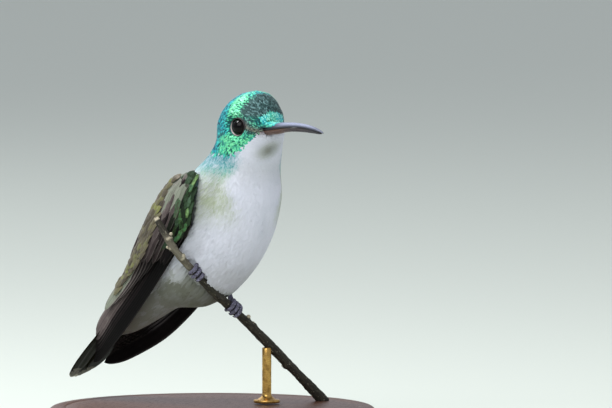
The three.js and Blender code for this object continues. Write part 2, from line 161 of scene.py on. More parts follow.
def loft(rings):
    """Closed skins through rings of points, (rows, around, 3) each, as points and faces."""
    rings = rings.reshape(-1, *rings.shape[-3:])
    index = np.arange(rings.size // 3).reshape(rings.shape[:3])
    near, far = index[:, :-1], index[:, 1:]
    walls = np.stack([near, np.roll(near, -1, 2), np.roll(far, -1, 2), far], -1).reshape(-1, 4)
    ends = index[:, 0, ::-1].tolist() + index[:, -1].tolist()
    return rings.reshape(-1, 3), walls.tolist() + ends


def made(name, skin, material, facing=None, **carried):
    """An object from points in millimetres and faces, with what it carries on its points."""
    points, faces = skin
    mesh = bpy.data.meshes.new(name)
    mesh.from_pydata((np.asarray(points) * MM).tolist(), [], faces)
    mesh.shade_smooth()
    if facing is not None:
        mesh.normals_split_custom_set_from_vertices(facing.tolist())
    mesh.materials.append(material)
    for key, values in carried.items():
        values = np.asarray(values, np.float32)
        kind, slot = ("FLOAT", "value") if values.ndim == 1 else ("FLOAT_VECTOR", "vector")
        mesh.attributes.new(key, kind, "POINT").data.foreach_set(slot, values.ravel())
    return placed(name, mesh)


def placed(name, data):
    thing = bpy.data.objects.new(name, data)
    bpy.context.scene.collection.objects.link(thing)
    return thing


def vectors(x, y, z):
    return np.stack(np.broadcast_arrays(x, y, z), -1).astype(float)


def full_turn(count):
    return np.linspace(0, 2 * math.pi, count, endpoint=False)


def turned(profile, around, centre=(0, 0)):
    """A lathe shape from (radius, height) pairs."""
    turn = full_turn(around)
    radius, height = np.array(profile, float).T[..., None]
    x, y = centre[0] + radius * np.cos(turn), centre[1] + radius * np.sin(turn)
    return loft(vectors(x, y, height))


def oiled_wood(w):
    place = w.place()
    rings = (place.stretched(0.5, 0.07, 0.5).noise(1.0, 3, 0.6) * 26).wave()
    pores = place.stretched(5, 0.55, 5).noise(1.0, 2).rise(0.56, 0.66)
    colour = (pores * 0.7).between(rings.rise(0, 1).between("#3a2013", "#5b3720"), "#22120b")
    wear = place.noise(0.35, 3).rise(0.4, 0.7)
    return {
        "Base Color": (wear * 0.25).between(colour, "#6d472b"),
        "Roughness": 0.36 + 0.16 * rings + 0.2 * pores,
        "Normal": w.bump(rings * 0.25 - pores, 0.5, 0.05),
    }


wall_top, edge_middle = BASE_TOP - BASE_EDGE, BASE_RADIUS - BASE_EDGE
outline = [(0.4, 0.02), (BASE_RADIUS - 0.5, 0.0), (BASE_RADIUS - 0.12, 0.12), (BASE_RADIUS, 0.5)]
outline += [(BASE_RADIUS, z) for z in np.linspace(0.8, wall_top, 4)]
for bend in np.radians(np.linspace(8, 90, 10)):
    out, up = BASE_EDGE * math.cos(bend), BASE_EDGE * math.sin(bend)
    outline.append((edge_middle + out, wall_top + up))
outline += SCORED_RING + [(radius, BASE_TOP) for radius in (22, 14, 7, 0.4)]
wood = finish("oiled wood", oiled_wood, Coat_Weight=0.25, Coat_Roughness=0.25)
base = made("turned_base", turned(outline, 160), wood)
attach(base, "root")
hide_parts("stand_base")

# ---------------------------------------------------------------- stand rod
# A drawn brass rod with a turned foot that screws down on the base. Its top is filed hollow
# to fit under the twig, where it is pinned.

ROD_RADIUS, FOOT_RADIUS, FOOT_NECK, FOOT_RISE = 0.9, 2.6, 0.74, 0.95
rod_low, rod_high = (np.array(corner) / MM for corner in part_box("stand_rod"))
foot, top = rod_low[2], rod_high[2]


def brass(w):
    place = w.place()
    turning = place.stretched(0.4, 0.4, 16).noise(1.0, 2)
    tarnish = place.noise(0.9, 4, 0.6).rise(0.45, 0.72)
    return {
        "Base Color": (tarnish * 0.6).between("#c79f58", "#7d5b2c"),
        "Roughness": 0.2 + 0.14 * turning + 0.2 * tarnish,
        "Normal": w.bump(turning, 0.25, 0.02),
    }


outline = [(0.1, foot), (FOOT_RADIUS - 0.1, foot), (FOOT_RADIUS, foot + 0.08)]
outline += [(FOOT_RADIUS, foot + 0.5), (FOOT_RADIUS - 0.12, foot + 0.62), (1.9, foot + 0.66)]
outline.append((1.78, foot + FOOT_NECK))
for share in np.linspace(0.2, 1, 6):
    outline.append((ROD_RADIUS + 0.85 * (1 - share) ** 2, foot + FOOT_NECK + FOOT_RISE * share))
outline += [(ROD_RADIUS, z) for z in np.linspace(foot + 2, top - 0.3, 5)]
outline += [(ROD_RADIUS - 0.12, top - 0.14), (0.1, top - 0.12)]
rod_shape = turned(outline, 48, (rod_low + rod_high)[:2] / 2)
rod = made("brass_rod", rod_shape, finish("brass", brass, Metallic=1.0))
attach(rod, "root")
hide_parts("stand_rod")

# ---------------------------------------------------------------- perch
# A cut length of dead twig with ridged brown bark, olive algae, pale bud scars and a broken
# tip of bare wood. It slants down from the bird's right side and is glued to the base.

TWIG_RUN = [
    (-3.4, -13.1, 42.3), (0.3, -11.9, 36.2), (1.3, -7.7, 32.1), (2.8, -3.3, 27.8),
    (3.5, 1.8, 24.2), (5.1, 9.0, 18.3), (6.7, 14.4, 13.3), (8.4, 20.1, 8.0), (9.5, 23.9, 4.4),
]
TWIG_LENGTH, TWIG_END, TIP_RADIUS, ROOT_RADIUS = 62, 0.992, 0.62, 1.05
BUDS = [  # share of the run, degrees round it, how far it stands out, radius
    (0.085, 75, 1.0, 0.42), (0.115, 250, 0.7, 0.4), (0.165, 20, 0.35, 0.5),
    (0.54, 50, 0.8, 0.5), (0.575, 75, 0.35, 0.42), (0.78, 240, 0.4, 0.5),
]
SCARRED = 3  # the first buds left a scar of bare wood


def span(v):
    """How long vectors are."""
    return np.linalg.norm(v, axis=-1)


def unit(v):
    return v / np.maximum(span(v)[..., None], 1e-12)


def lerp(a, b, t):
    return a + (b - a) * t


def smooth(value, low, high):
    t = np.clip((np.asarray(value, float) - low) / (high - low), 0, 1)
    return t * t * (3 - 2 * t)


def fade(value, low, high):
    return 1 - smooth(value, low, high)


def hump(value, middle, width):
    return np.exp(-(((value - middle) / width) ** 2))


def joined(*skins):
    """Several (points, faces) as one."""
    points, faces, start = [], [], 0
    for some, corners in skins:
        points.append(some)
        faces += [[start + i for i in face] for face in corners]
        start += len(some)
    return np.concatenate(points), faces


def through(points, share):
    """Places on a smooth curve through points, at shares of its knots from 0 to 1."""
    points = np.asarray(points, float)
    padded = np.vstack([2 * points[0] - points[1], points, 2 * points[-1] - points[-2]])
    at = np.clip(np.asarray(share, float), 0, 1) * (len(points) - 1)
    first = np.minimum(at.astype(int), len(points) - 2)
    w = (at - first)[..., None]
    a, b, c, d = (padded[first + k] for k in range(4))
    before, here, after = (np.sqrt(span(q - p)[..., None]) for p, q in ((a, b), (b, c), (c, d)))
    here = np.where(here < 1e-4, 1, here)
    before, after = (np.where(v < 1e-4, here, v) for v in (before, after))
    leave = ((b - a) / before - (c - a) / (before + here) + (c - b) / here) * here
    reach = ((c - b) / here - (d - b) / (here + after) + (d - c) / after) * here
    return (
        b + leave * w + (3 * (c - b) - 2 * leave - reach) * w ** 2
        + (2 * (b - c) + leave + reach) * w ** 3
    )


def evenly(points, share):
    """The same curve at shares of its length, with its direction there."""
    knots, step = np.linspace(0, 1, 601), 1e-3
    dense = through(points, knots)
    run = np.concatenate([[0], np.cumsum(span(np.diff(dense, axis=0)))])
    at = np.interp(np.asarray(share) * run[-1], run, knots)
    along = through(points, np.minimum(at + step, 1)) - through(points, np.maximum(at - step, 0))
    return through(points, at), unit(along)


def round_frame(along, up=(0, 0, 1)):
    """The ways to the side and over a run."""
    side = unit(np.cross(along, up))
    return side, unit(np.cross(side, along))


def tube(places, along, up, radius, around, bulge=0):
    """Rings of points round a run: radius per place, and a bulge per place and turn."""
    side, over = round_frame(along, np.broadcast_to(up, along.shape))
    turn, reach = full_turn(around), np.asarray(radius)[..., None] + bulge
    return (
        places[..., None, :] + (reach * np.cos(turn))[..., None] * side[..., None, :]
        + (reach * np.sin(turn))[..., None] * over[..., None, :]
    )


def twig_radius(share):
    share = np.asarray(share)
    return lerp(TIP_RADIUS, ROOT_RADIUS, share ** 0.8) * (1 + 0.07 * np.sin(21 * share))


def round_twig(at, turn, reach, shift=0.0):
    """Places beside the twig: degrees round it, how far off its middle, how far along."""
    centre, along = evenly(TWIG_RUN, np.array([at]))
    side, over = round_frame(along)
    spot = np.radians(turn), reach, shift
    turn, reach, shift = (np.asarray(v, float)[..., None] for v in spot)
    return centre + along * shift + side * (reach * np.cos(turn)) + over * (reach * np.sin(turn))


def twig_skin(rows=300, around=28):
    """The twig with its buds, the lie of its grain, and how bare its wood is."""
    share, turn = np.linspace(0, TWIG_END, rows), full_turn(around)
    length = (share * TWIG_LENGTH)[:, None]
    centre, along = evenly(TWIG_RUN, share)
    bulge = np.zeros((rows, around))
    for i in range(rows):
        for j in range(around):
            spot = Vector((1.6 * math.cos(turn[j]), 1.6 * math.sin(turn[j]), share[i] * 26))
            fine = noise.noise(spot * Vector((3.1, 3.1, 0.9)) + Vector((7, 0, 0)))
            bulge[i, j] = abs(noise.noise(spot * 1.6)) * 0.16 - 0.05 + 0.05 * fine
    bare = hump(length, 0, 0.7) + np.zeros((1, around))
    for number, (place, degrees, stand, radius) in enumerate(BUDS):
        facing = np.cos(turn - math.radians(degrees))
        bulge += hump(length, place * TWIG_LENGTH, 0.55) * 0.12 * (1.2 + facing)
        if number < SCARRED:
            bare += 0.7 * hump(length, place * TWIG_LENGTH, 0.5) * (facing > 0.1)
    tip = np.clip(1 - length / 0.45, 0, 1)
    radius = twig_radius(share) * (1 - 0.45 * tip[:, 0] ** 2)
    rings = tube(centre, along, (0, 0, 1), radius, around, bulge * (1 - 0.5 * tip))
    rings[0] += along[0] * (0.25 * np.sin(3 * turn + 1) + 0.12 * np.sin(7 * turn))[:, None]
    rings[..., 2] = np.maximum(rings[..., 2], BASE_TOP - 0.05)
    grain = vectors(np.cos(turn), np.sin(turn), length)
    skins, grains, bares = [loft(rings)], [grain.reshape(-1, 3)], [bare.ravel()]
    for place, degrees, stand, width in BUDS:
        centre, along = (v[0] for v in evenly(TWIG_RUN, np.array([place])))
        way = unit(round_twig(place, degrees, 1)[0] - centre - 0.45 * along)
        t = np.linspace(0, 1, 9)
        places = centre + way * (t[:, None] * (float(twig_radius(place)) + stand))
        size = width * np.sqrt(np.clip(1 - t ** 3, 0.012, 1)) * (1 + 0.25 * np.sin(9 * t))
        bud = tube(places, np.broadcast_to(way, places.shape), along, size, 12)
        skins.append(loft(bud))
        grains.append(bud.reshape(-1, 3))
        bares.append(np.repeat(smooth(t, 0.3, 0.9), 12) * 0.9)
    return joined(*skins), np.concatenate(grains), np.concatenate(bares)


def bark(w):
    grain, (bare, high) = w.carried("grain", out="Vector"), w.carried("bare", "high")
    ridges = grain.stretched(2.6, 2.6, 0.5).noise(1.5, 4, 0.62)
    cracks = grain.stretched(5, 5, 0.7).noise(1.3, 3, 0.6).rise(0.52, 0.64)
    algae = grain.stretched(1, 1, 0.3).noise(0.9, 3).rise(0.45, 0.68)
    lichen = grain.stretched(1, 1, 0.8).noise(2.2, 3).rise(0.62, 0.7)
    # Partly bark colour, partly painted shade: the furrows between the ridges are painted dark,
    # and the cracks darker still.
    colour = ridges.ramp((0.3, "#1d1914"), (0.5, "#3d382c"), (0.72, "#6b6350"))
    colour = (algae * 0.5).between(colour, "#3d4029")
    colour = (cracks * 0.75).between(colour, "#17130f")
    # Painted highlight: the upper stretch is painted pale as if lit, and the rest of the bark is
    # painted darker.
    colour = (high * (0.35 + 0.5 * algae)).between(colour, "#8b8573")
    colour = ((1 - high) * 0.5).between(colour, "#15110d")
    colour = (lichen * 0.6).between(colour, "#8f8c78")
    return {
        "Base Color": bare.rise(0.35, 0.85, 0, 0.85).between(colour, "#c9bfa6"),
        "Roughness": 0.75 + 0.2 * ridges,
        "Normal": w.bump(ridges - 0.6 * cracks, 0.8, 0.14),
    }


twig_shape, grain, bare = twig_skin()
# The upper stretch carries a painted highlight.
high = smooth(grain[:, 2], 3, 6) * fade(grain[:, 2], 13, 17)  # the pale upper stretch
twig = made("twig", twig_shape, finish("bark", bark), grain=grain, bare=bare, high=high)
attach(twig, "root")
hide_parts("perch")

# ---------------------------------------------------------------- skin
# The bird's skin over head, neck, trunk and tail root in one piece, stretched over the
# taxidermist's form. The feathers stand in it, and it shows a little between them.

HEAD_PLACE, HEAD_TURN = np.array([9.8, 0, 60.3]), math.radians(-19)
HEAD_ENDS = 0.4  # share of the body's run
HEAD_STATIONS = [
    (9.8 + 1.3 * math.cos(turn), 60.3 + 6.7 * math.cos(turn), 90, 7.4 * math.sin(turn),
     7.0 * math.sin(turn), 6.2 * math.sin(turn))
    for turn in np.radians([2, 25, 48, 70, 90])
]
STATIONS = np.array(HEAD_STATIONS + [  # centre x and z, pitch, depths of back and breast, breadth
    (9.3, 56.8, 86, 6.8, 6.7, 6.2), (8.2, 53.2, 78, 7.1, 6.8, 7.0), (6.3, 48.8, 67, 8.4, 9.3, 8.5),
    (3.6, 44.2, 57, 9.4, 11.0, 9.2), (0.3, 40.0, 49, 10.3, 11.8, 9.2),
    (-3.8, 35.8, 44, 11.0, 11.7, 8.6), (-8.3, 31.6, 42, 10.4, 9.6, 7.4),
    (-12.7, 27.8, 41, 8.2, 5.3, 6.0), (-17.0, 24.2, 40, 5.2, 4.0, 4.5),
    (-21.4, 20.6, 40, 2.4, 2.6, 3.0), (-25.0, 17.5, 40, 0, 0, 0),
])
BROW = 0.1  # how much the forehead falls back from the round dome
COAT_DEPTH = [  # shares of the run, and how deep the feathers lie over the skin there
    [0, 0.25, 0.33, 0.42, 0.55, 0.75, 0.9, 1], [0.4, 0.4, 0.42, 0.46, 0.52, 0.6, 0.5, 0.1],
]
FAR = 99.0


def swung(v, turn):
    """Vectors turned about the upright axis."""
    c, s = np.cos(turn), np.sin(turn)
    return vectors(v[..., 0] * c - v[..., 1] * s, v[..., 0] * s + v[..., 1] * c, v[..., 2])


body_run = np.linspace(0, 1, 1601)
pitch = np.radians(through(STATIONS[:, 2:3], body_run)[:, 0])
turn = HEAD_TURN * fade(body_run, 0.26, 0.5)
body_centre = through(np.insert(STATIONS[:, :2], 1, 0, axis=1), body_run)
body_size = np.maximum(through(STATIONS[:, 3:], body_run), 0.02)
body_forward = swung(vectors(np.sin(pitch), 0, -np.cos(pitch)), turn)
body_left = swung(vectors(0 * pitch, 1, 0), turn)
body_down = swung(vectors(-np.cos(pitch), 0, -np.sin(pitch)), turn)


def at_share(share, *tables):
    """What each of the body's tables says at shares of its run."""
    spot = np.clip(share, 0, 1) * (len(body_run) - 1)
    low = np.minimum(spot.astype(int), len(body_run) - 2)
    w = (spot - low)[..., None]
    found = [table[low] * (1 - w) + table[low + 1] * w for table in tables]
    return found if len(tables) > 1 else found[0]


def share_near(places):
    """The share of the body's run whose section passes through each place."""
    low, high = np.zeros(places.shape[:-1]), np.ones(places.shape[:-1])
    for _ in range(16):
        middle = (low + high) / 2
        centre, down = at_share(middle, body_centre, body_down)
        past = ((places - centre) * down).sum(-1) > 0
        low, high = np.where(past, middle, low), np.where(past, high, middle)
    return (low + high) / 2


def in_head(forward, left, up):
    """A place given from the head's middle: forward, left and up."""
    return swung(vectors(forward, left, up), HEAD_TURN) + HEAD_PLACE


def head_places(places):
    """The reverse: forward, left and up of places on the head."""
    return np.moveaxis(swung(places - HEAD_PLACE, -HEAD_TURN), -1, 0)


EYES = {side: in_head(2.3, side * 3.95, -0.1) for side in (-1, 1)}
EYE_AXES = {side: swung(np.array([0.30, side * 0.95, 0.04]), HEAD_TURN) for side in (-1, 1)}
THIGH = np.array([-3.1, 7.7, 31.6])


def off_axis(places, side):
    """How far out along an eye's axis places are, and their way off it."""
    offset = places - EYES[side]
    forth = (offset * EYE_AXES[side]).sum(-1, keepdims=True)
    return forth[..., 0], offset - forth * EYE_AXES[side]


def from_eye(places):
    """How far places are from the nearer eye's axis, on its own side of the head."""
    away = np.full(places.shape[:-1], FAR)
    for side in EYES:
        forth, off = off_axis(places, side)
        away = np.where((forth > -1) & (span(off) < away), span(off), away)
    return away


def from_thigh(places):
    """How far places are from the tuft of soft feathers over the thigh on either side."""
    return span(places * (1, 0, 1) + np.abs(places) * (0, 1, 0) - THIGH)


def coat_depth(places, share):
    """How deep the feathers lie over the skin."""
    thin = smooth(from_eye(places), 1.2, 4.0) * 0.7 + 0.3
    return np.interp(share, *COAT_DEPTH) * np.where(share < HEAD_ENDS, thin, 1)


def eye_hollow(places, share):
    """The face dips a little towards the eyes."""
    return np.where(share < HEAD_ENDS, 0.78 * fade(from_eye(places), 1.3, 3.0), 0)


def skin_depth(places, share):
    crater = np.where(share < HEAD_ENDS, 2.2 * fade(from_eye(places), 1.2, 2.0), 0)
    return coat_depth(places, share) + eye_hollow(places, share) + crater


def pointed(normals, way):
    """Normals turned over where they point against a way."""
    return normals * np.sign((normals * way).sum(-1, keepdims=True) + 1e-9)


def body_surface(rows, around, under):
    """A grid over the body with its shares of the run; under(places, share) sinks it."""
    share, turn = np.meshgrid(np.linspace(0, 1, rows), full_turn(around), indexing="ij")
    centre, size, forward, left = at_share(share, body_centre, body_size, body_forward, body_left)
    fallen = 1 - BROW * fade(share, 0.14, 0.27) * smooth(np.cos(turn), 0, 0.55)
    depth = np.where(np.cos(turn) > 0, size[..., 1], size[..., 0]) * fallen
    places = (
        centre + forward * (depth * np.cos(turn))[..., None]
        + left * (size[..., 2] * fallen * np.sin(turn))[..., None]
    )
    across = np.roll(places, -1, 1) - np.roll(places, 1, 1)
    normal = pointed(unit(np.cross(across, np.gradient(places, axis=0))), places - centre)
    normal[0] = (0, 0, 1)
    sink = under(places, share)
    sink = np.where(share > 0.6, np.minimum(sink, 0.35 * size.min(-1)), sink)
    return places - normal * sink[..., None], share


def markings(places, share):
    """What the plumage shows at places: green cover, its hue and painted gleam, bronze, wash, and
    painted shade with the thigh tufts' grey.
    """
    forward, left, up = head_places(places)
    forward = np.minimum(forward, 6.8)
    centre, size, ahead = at_share(share, body_centre, body_size, body_forward)
    breastward = ((places - centre) * ahead).sum(-1)
    breastward = breastward / np.where(breastward > 0, size[..., 1], size[..., 0])

    # The green hood ends in a line that slants from the gape to below the ear, then runs level.
    edge = up - np.maximum(forward - 8.0 + 0.5 * smooth(forward, 5.2, 6.2), -5.6)
    edge = edge - 2.4 * smooth(left, 0.8, 3.0) * smooth(forward, 2.0, 4.0) * smooth(-up, -0.3, 1.2)
    hood = smooth(edge, -0.35, 0.35) * fade(share, 0.36, 0.44)
    back = smooth(-breastward, 0.0, 0.42) * smooth(share, 0.42, 0.52)
    back = np.maximum(back, smooth(-breastward, 0.8, 0.92) * smooth(share, 0.3, 0.4))
    neck_side = smooth(3.2 - 1.4 * hump(up, -10.8, 2.2) - forward, -1.2, 0.9)
    neck_side = neck_side * smooth(-edge, -0.8, 0.4) * fade(-up, 15, 21)
    flank = 0.35 * smooth(-breastward, -0.5, 0.1) * fade(share, 0.5, 0.62)
    wash = np.maximum(neck_side * (1 - 0.25 * smooth(-up, 8, 13)), flank) * (1 - back)
    green = np.maximum(hood, back)

    # Painted sheen on the hood's glitter: a dull cap behind a bright frontlet, a bright band
    # across the crown, and dull patches before and above the eye.
    crown = 0.7 * smooth(up, 3.8, 5.2)
    frontlet = np.sqrt(((left - 0.9) / 3.2) ** 2 + ((up - 1.4) / 1.45) ** 2)
    frontlet = fade(frontlet, 0.8, 1.05) * smooth(forward, 3.6, 4.6)
    cap = smooth(forward - crown - 2.7 - 0.2 * (5 - up), -0.3, 0.5) * smooth(up, 1.5, 2.4)
    band = forward - crown - 1.0 - 0.3 * (5 - up) - 0.8 * fade(up, 2.2, 3.4)
    band = hump(band, 0, 1.55) * smooth(up, 1.3, 2.6)
    cheek = smooth(-up, 0.8, 2.2) * smooth(forward, -3.0, -0.6)
    nape = smooth(-forward, -1.4, 0.8)
    bridle = hump(forward, 4.6, 1.1) * hump(up, 1.1, 0.8)

    hue = 0.42 + 0.2 * cheek - 0.27 * nape * (1 - 0.8 * cheek) + 0.4 * band
    hue = hue + 0.3 * frontlet * (hump(left, 0.6, 1.2) - 0.35) - 0.3 * smooth(up, 5.2, 6.4)
    hue = lerp(0.5, hue, fade(share, 0.42, 0.6))
    hue = np.where(wash > green, smooth(-up, 6, 12), hue + 0.12 * smooth(share, 0.5, 0.7))
    gleam = 0.45 + 0.42 * cheek + 0.62 * band + 0.8 * frontlet + 0.02 * nape
    gleam = gleam - 0.5 * cap * (1 - frontlet) + 0.15 * smooth(frontlet, 0.6, 1)
    gleam = gleam - 0.3 * hump(forward, 1.4, 1.6) * hump(up, 1.2, 0.8) - 0.6 * bridle
    gleam = lerp(gleam, 0.42, smooth(share, 0.4, 0.5))

    # Painted shade: a shadow on the throat under the bill, and shade over the vent, the front of
    # the neck and the lower belly. The lore before the eye is its own dark colour.
    lore = hump(up + 0.45 * (forward - 4.8), -0.05, 0.75) * smooth(forward, 3.3, 4.1)
    throat_shadow = hump(left, 0.1, 2.3) * hump(up - 0.25 * left, -4.5, 1.5) * smooth(forward, 3.0, 5.0)
    vent = smooth(share, 0.63, 0.71) * smooth(breastward, 0.1, 0.4)
    vent = vent * lerp(0.85, 0.66, smooth(share, 0.7, 0.8))
    shade = 0.12 * hump(up, -8.5, 3) * smooth(forward, -2, 2)
    under = 0.13 * hump(places[..., 2], 30.5, 3) * fade(share, 0.62, 0.7)
    dusk = np.maximum(np.maximum(0.62 * throat_shadow, shade), np.maximum(0.95 * vent, under))
    thigh = from_thigh(places)
    # Over the thigh tufts the painted shade gives way to their own grey centre.
    return {
        "green": green, "hue": hue, "gleam": np.clip(gleam, 0, 1.3), "wash": wash, "lore": lore,
        "bronze": smooth(-breastward, -0.1, 0.5) * smooth(share, 0.42, 0.56),
        "dusk": dusk * (1 - 0.95 * hump(thigh, 0, 1.8)) + 0.45 * hump(thigh, 0, 0.75),
        "cap": np.maximum(cap, bridle) * (1 - frontlet),
    }


def plumage(w):
    """White below, glittering green hood, bronze-green back; each feather a little different."""
    along, across, tone = w.carried("along", "across", "tone")
    root = w.carried("root", out="Vector")
    green, hue, gleam, wash = w.carried("green", "hue", "gleam", "wash")
    bronze, dusk, lore, cap = w.carried("bronze", "dusk", "lore", "cap")
    patchy = root.noise(0.45, 3)
    barbs = (along * 60 + abs(across) * 11).wave() * abs(across).rise(0.03, 0.12)
    shaft = 1 - abs(across).rise(0.0, 0.09)
    spread = ((along - 0.66) * 2.6).squared() + across.squared()
    disc = 1 - spread.rise(0.3, 0.95)

    # Painted shade: the white darkens through greys where throat, neck, vent and belly lie in
    # shade; over the thigh tufts the same ramp gives their grey.
    white = dusk.ramp((0, "#dddfeb"), (0.35, "#b0b4b3"), (0.7, "#777a6e"), (1, "#55574a"))
    white = (patchy.rise(0.42, 0.75) * 0.3).between(white, "#c3c9d4")
    pale = hue.ramp((0, "#358a92"), (0.35, "#6da69d"), (0.65, "#93b096"), (1, "#a5b08c"))
    spots = wash * root.noise(0.3, 1).rise(0.6, 0.68) * hue.rise(0.5, 0.9)
    white = (spots * 0.5).between(white, "#a9b67c")
    washed = wash * (0.6 + 0.4 * disc) * tone.rise(0.0, 0.8, 0.7, 1)
    white = (washed * patchy.rise(0.3, 0.5, 0.7, 1)).between(white, pale)

    varied = hue + (tone - 0.5) * 0.36 + (patchy - 0.5) * 0.3
    glitter = varied.ramp(
        (0.0, "#1292b4"), (0.2, "#12b6c4"), (0.4, "#49d3ca"), (0.58, "#58d2a4"),
        (0.78, "#7ee8ac"), (1, "#aaf4cc"),
    )
    deep = varied.ramp((0.0, "#0e4a60"), (0.5, "#125a4c"), (1, "#2f7348"))
    # Painted sheen: the glitter goes from deep to bright by its painted gleam, takes painted
    # mint-white highlights where the gleam is strongest, and is dulled over the cap.
    lit = (gleam * 0.9 + (tone - 0.5) * 1.25).rise(0.1, 0.9)
    emerald = (lit * disc.rise(0.0, 0.5, 0.15, 1)).between(deep, glitter)
    highlight = gleam.rise(0.88, 1.25) * tone.rise(0.25, 0.8) * disc * 0.85
    emerald = highlight.between(emerald, "#a0f6ea")
    dull = tone.ramp((0, "#1a2c2c"), (0.6, "#385453"), (1, "#6d878d"))
    emerald = (cap * 0.88).between(emerald, dull)

    back = (tone * 0.75 + patchy * 0.3).ramp(
        (0.2, "#4a4438"), (0.5, "#625a4a"), (0.8, "#6c6a49"), (0.97, "#868a4b"),
    )
    back = (spread.rise(0.5, 1.1) * 0.55).between(back, "#786e5d")
    colour = green.rise(0.35, 0.75).between(white, bronze.between(emerald, back))
    dark = tone.ramp((0, "#2b2120"), (0.5, "#54403f"), (1, "#8b7470"))
    colour = (lore * 0.85).between(colour, dark)
    colour = (barbs * 0.06).between(colour, "#000000")
    shine = green.rise(0.35, 0.75) * (1 - lore)
    return {
        "Base Color": (shaft * 0.06).between(colour, "#1a1a18"),
        "Metallic": shine * (0.25 - 0.15 * bronze),
        "Roughness": 0.85 - 0.42 * shine + 0.12 * cap,
        "Normal": w.bump(barbs * 0.5 + shaft * 0.5, 0.25, 0.02),
    }


soft_sheen = {"Specular_IOR_Level": 0.2, "Sheen_Weight": 0.05, "Sheen_Roughness": 0.5}
feathered = finish("plumage", plumage, **soft_sheen)
skin_points, skin_share = body_surface(260, 128, skin_depth)
places, ones = skin_points.reshape(-1, 3), np.ones(skin_share.size)
skin = made(
    "skin", loft(skin_points), feathered, root=places, along=ones * 0.45, across=ones * 0.3,
    tone=ones * 0.4, **markings(places, skin_share.ravel()),
)
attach(skin, "root")
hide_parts("head", "neck", "trunk", "tail_coverts")

# ---------------------------------------------------------------- bill
# Two thin sheaths of dark horn, the upper just longer and closed over the lower. The lower is
# brownish pink at its root. A narrow nostril lies under a flap at the root of the upper.

BILL_SEAT, BILL_DROP = 6.9, 0.35  # before and below the head's middle
BILL_LENGTH, BILL_INSET, BILL_FALL, BILL_TILT = 18.6, 2.3, 2.25, 7
BILL_HEIGHT = [[0, 0.12, 0.38, 0.8, 1], [1.1, 1.0, 0.78, 0.68, 0.6]]
past_face = -BILL_INSET + (BILL_LENGTH + BILL_INSET) * np.arange(9) / 8
fall = BILL_FALL * (np.maximum(past_face, 0) / BILL_LENGTH) ** 2.6
climb = past_face * math.tan(math.radians(BILL_TILT))
BILL_RUN = in_head(BILL_SEAT + past_face, 0, -BILL_DROP + climb - fall)


def on_bill(t, turn, upper=True):
    """Places on one half of the bill, and the way out of it; turn goes over it from its right."""
    centre, along = evenly(BILL_RUN, t * (1 if upper else 0.975))
    side, over = round_frame(along)
    rounding = np.sqrt(1 - np.minimum(t, 0.9995) ** 6)
    parting = -0.3 * fade(t, 0.15, 0.7)  # the gape line lies below the middle
    height = np.interp(t, *BILL_HEIGHT) * rounding + 0.06
    height = height - parting if upper else height + parting + 0.14 * hump(t, 0.25, 0.12)
    width = lerp(1.4, 0.5, smooth(t, 0, 0.8)) * rounding + 0.06
    lift = height * np.sin(turn) ** 0.85 * (1 + 0.05 * np.cos(turn * 2 - math.pi) ** 3)
    if upper:  # a flap over the nostril's slit, and a cutting edge that hangs over the lower half
        off_top, flap = np.abs(turn - math.pi / 2), hump(t, 0.3, 0.05)
        lift = lift + 0.12 * flap * hump(off_top, 0.85, 0.25)
        lift = lift - 0.16 * flap * hump(off_top, 1.15, 0.1)
        width = width * (1 + 0.06 * (np.sin(turn) < 0.3))
    way = 1 if upper else -1
    out = side * (np.cos(turn) / width)[:, None] + over * (way * np.sin(turn) / height)[:, None]
    rise = parting + way * (lift + 0.04)
    return centre + side * (width * np.cos(turn))[:, None] + over * rise[:, None], unit(out)


def horn(w):
    along, lower, seam, crest = w.carried("along", "lower", "seam", "crest")
    streaks = w.place().stretched(0.5, 0.5, 5).noise(1.2, 3)
    dark = along.ramp(
        (0, "#2a2630"), (0.22, "#2c2c35"), (0.45, "#30323d"), (0.8, "#2f323c"), (1, "#1e1d22"),
    )
    fleshy = along.ramp((0, "#5f4034"), (0.34, "#5c3d2e"), (0.5, "#3a2c2c"), (1, "#17151a"))
    # Painted shade: the sides of the upper half are painted dark down to the gape line, less
    # towards the tip.
    colour = (seam * 0.85).between(lower.between(dark, fleshy), "#151215")
    # Painted highlight: a pale reflection of the sky along the top of the upper half.
    colour = (crest * 0.9).between(colour, "#8f96b0")
    return {
        "Base Color": (streaks.rise(0.4, 0.7) * 0.15).between(colour, "#5c6272"),
        "Roughness": 0.34 + 0.18 * streaks,
        "Normal": w.bump(streaks, 0.3, 0.03),
    }


bill_horn = finish("bill horn", horn, Specular_IOR_Level=0.5)
grid = np.meshgrid(np.linspace(0, 1, 90), np.linspace(0, math.pi, 30), indexing="ij")
along, turn = (v.ravel() for v in grid)
# Where the painted top highlight runs along the bill: from past the root, fainter towards the tip.
painted_highlight_run = lerp(1, 0.45, smooth(along, 0.7, 0.95)) * smooth(along, 0.15, 0.4)
for name, node, upper in (("bill_top", "bill_upper", True), ("bill_under", "bill_lower", False)):
    rings = on_bill(along, turn, upper)[0].reshape(*grid[0].shape, 3)
    high = np.sin(turn) * upper
    half = made(
        name, loft(rings if upper else rings[:, ::-1]), bill_horn, along=along,
        lower=0 * along + (not upper), crest=smooth(high, 0.1, 0.8) * painted_highlight_run,
        seam=fade(high, 0.4, 0.85) * upper * lerp(1, 0.6, smooth(along, 0.3, 0.7)),
    )
    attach(half, "root")
    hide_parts(node)

# ---------------------------------------------------------------- eyes and lids
# Glass eyes, almost black with a dark brown iris, set in the skin behind lids of thin bare
# skin that is pale pinkish grey at the rim.

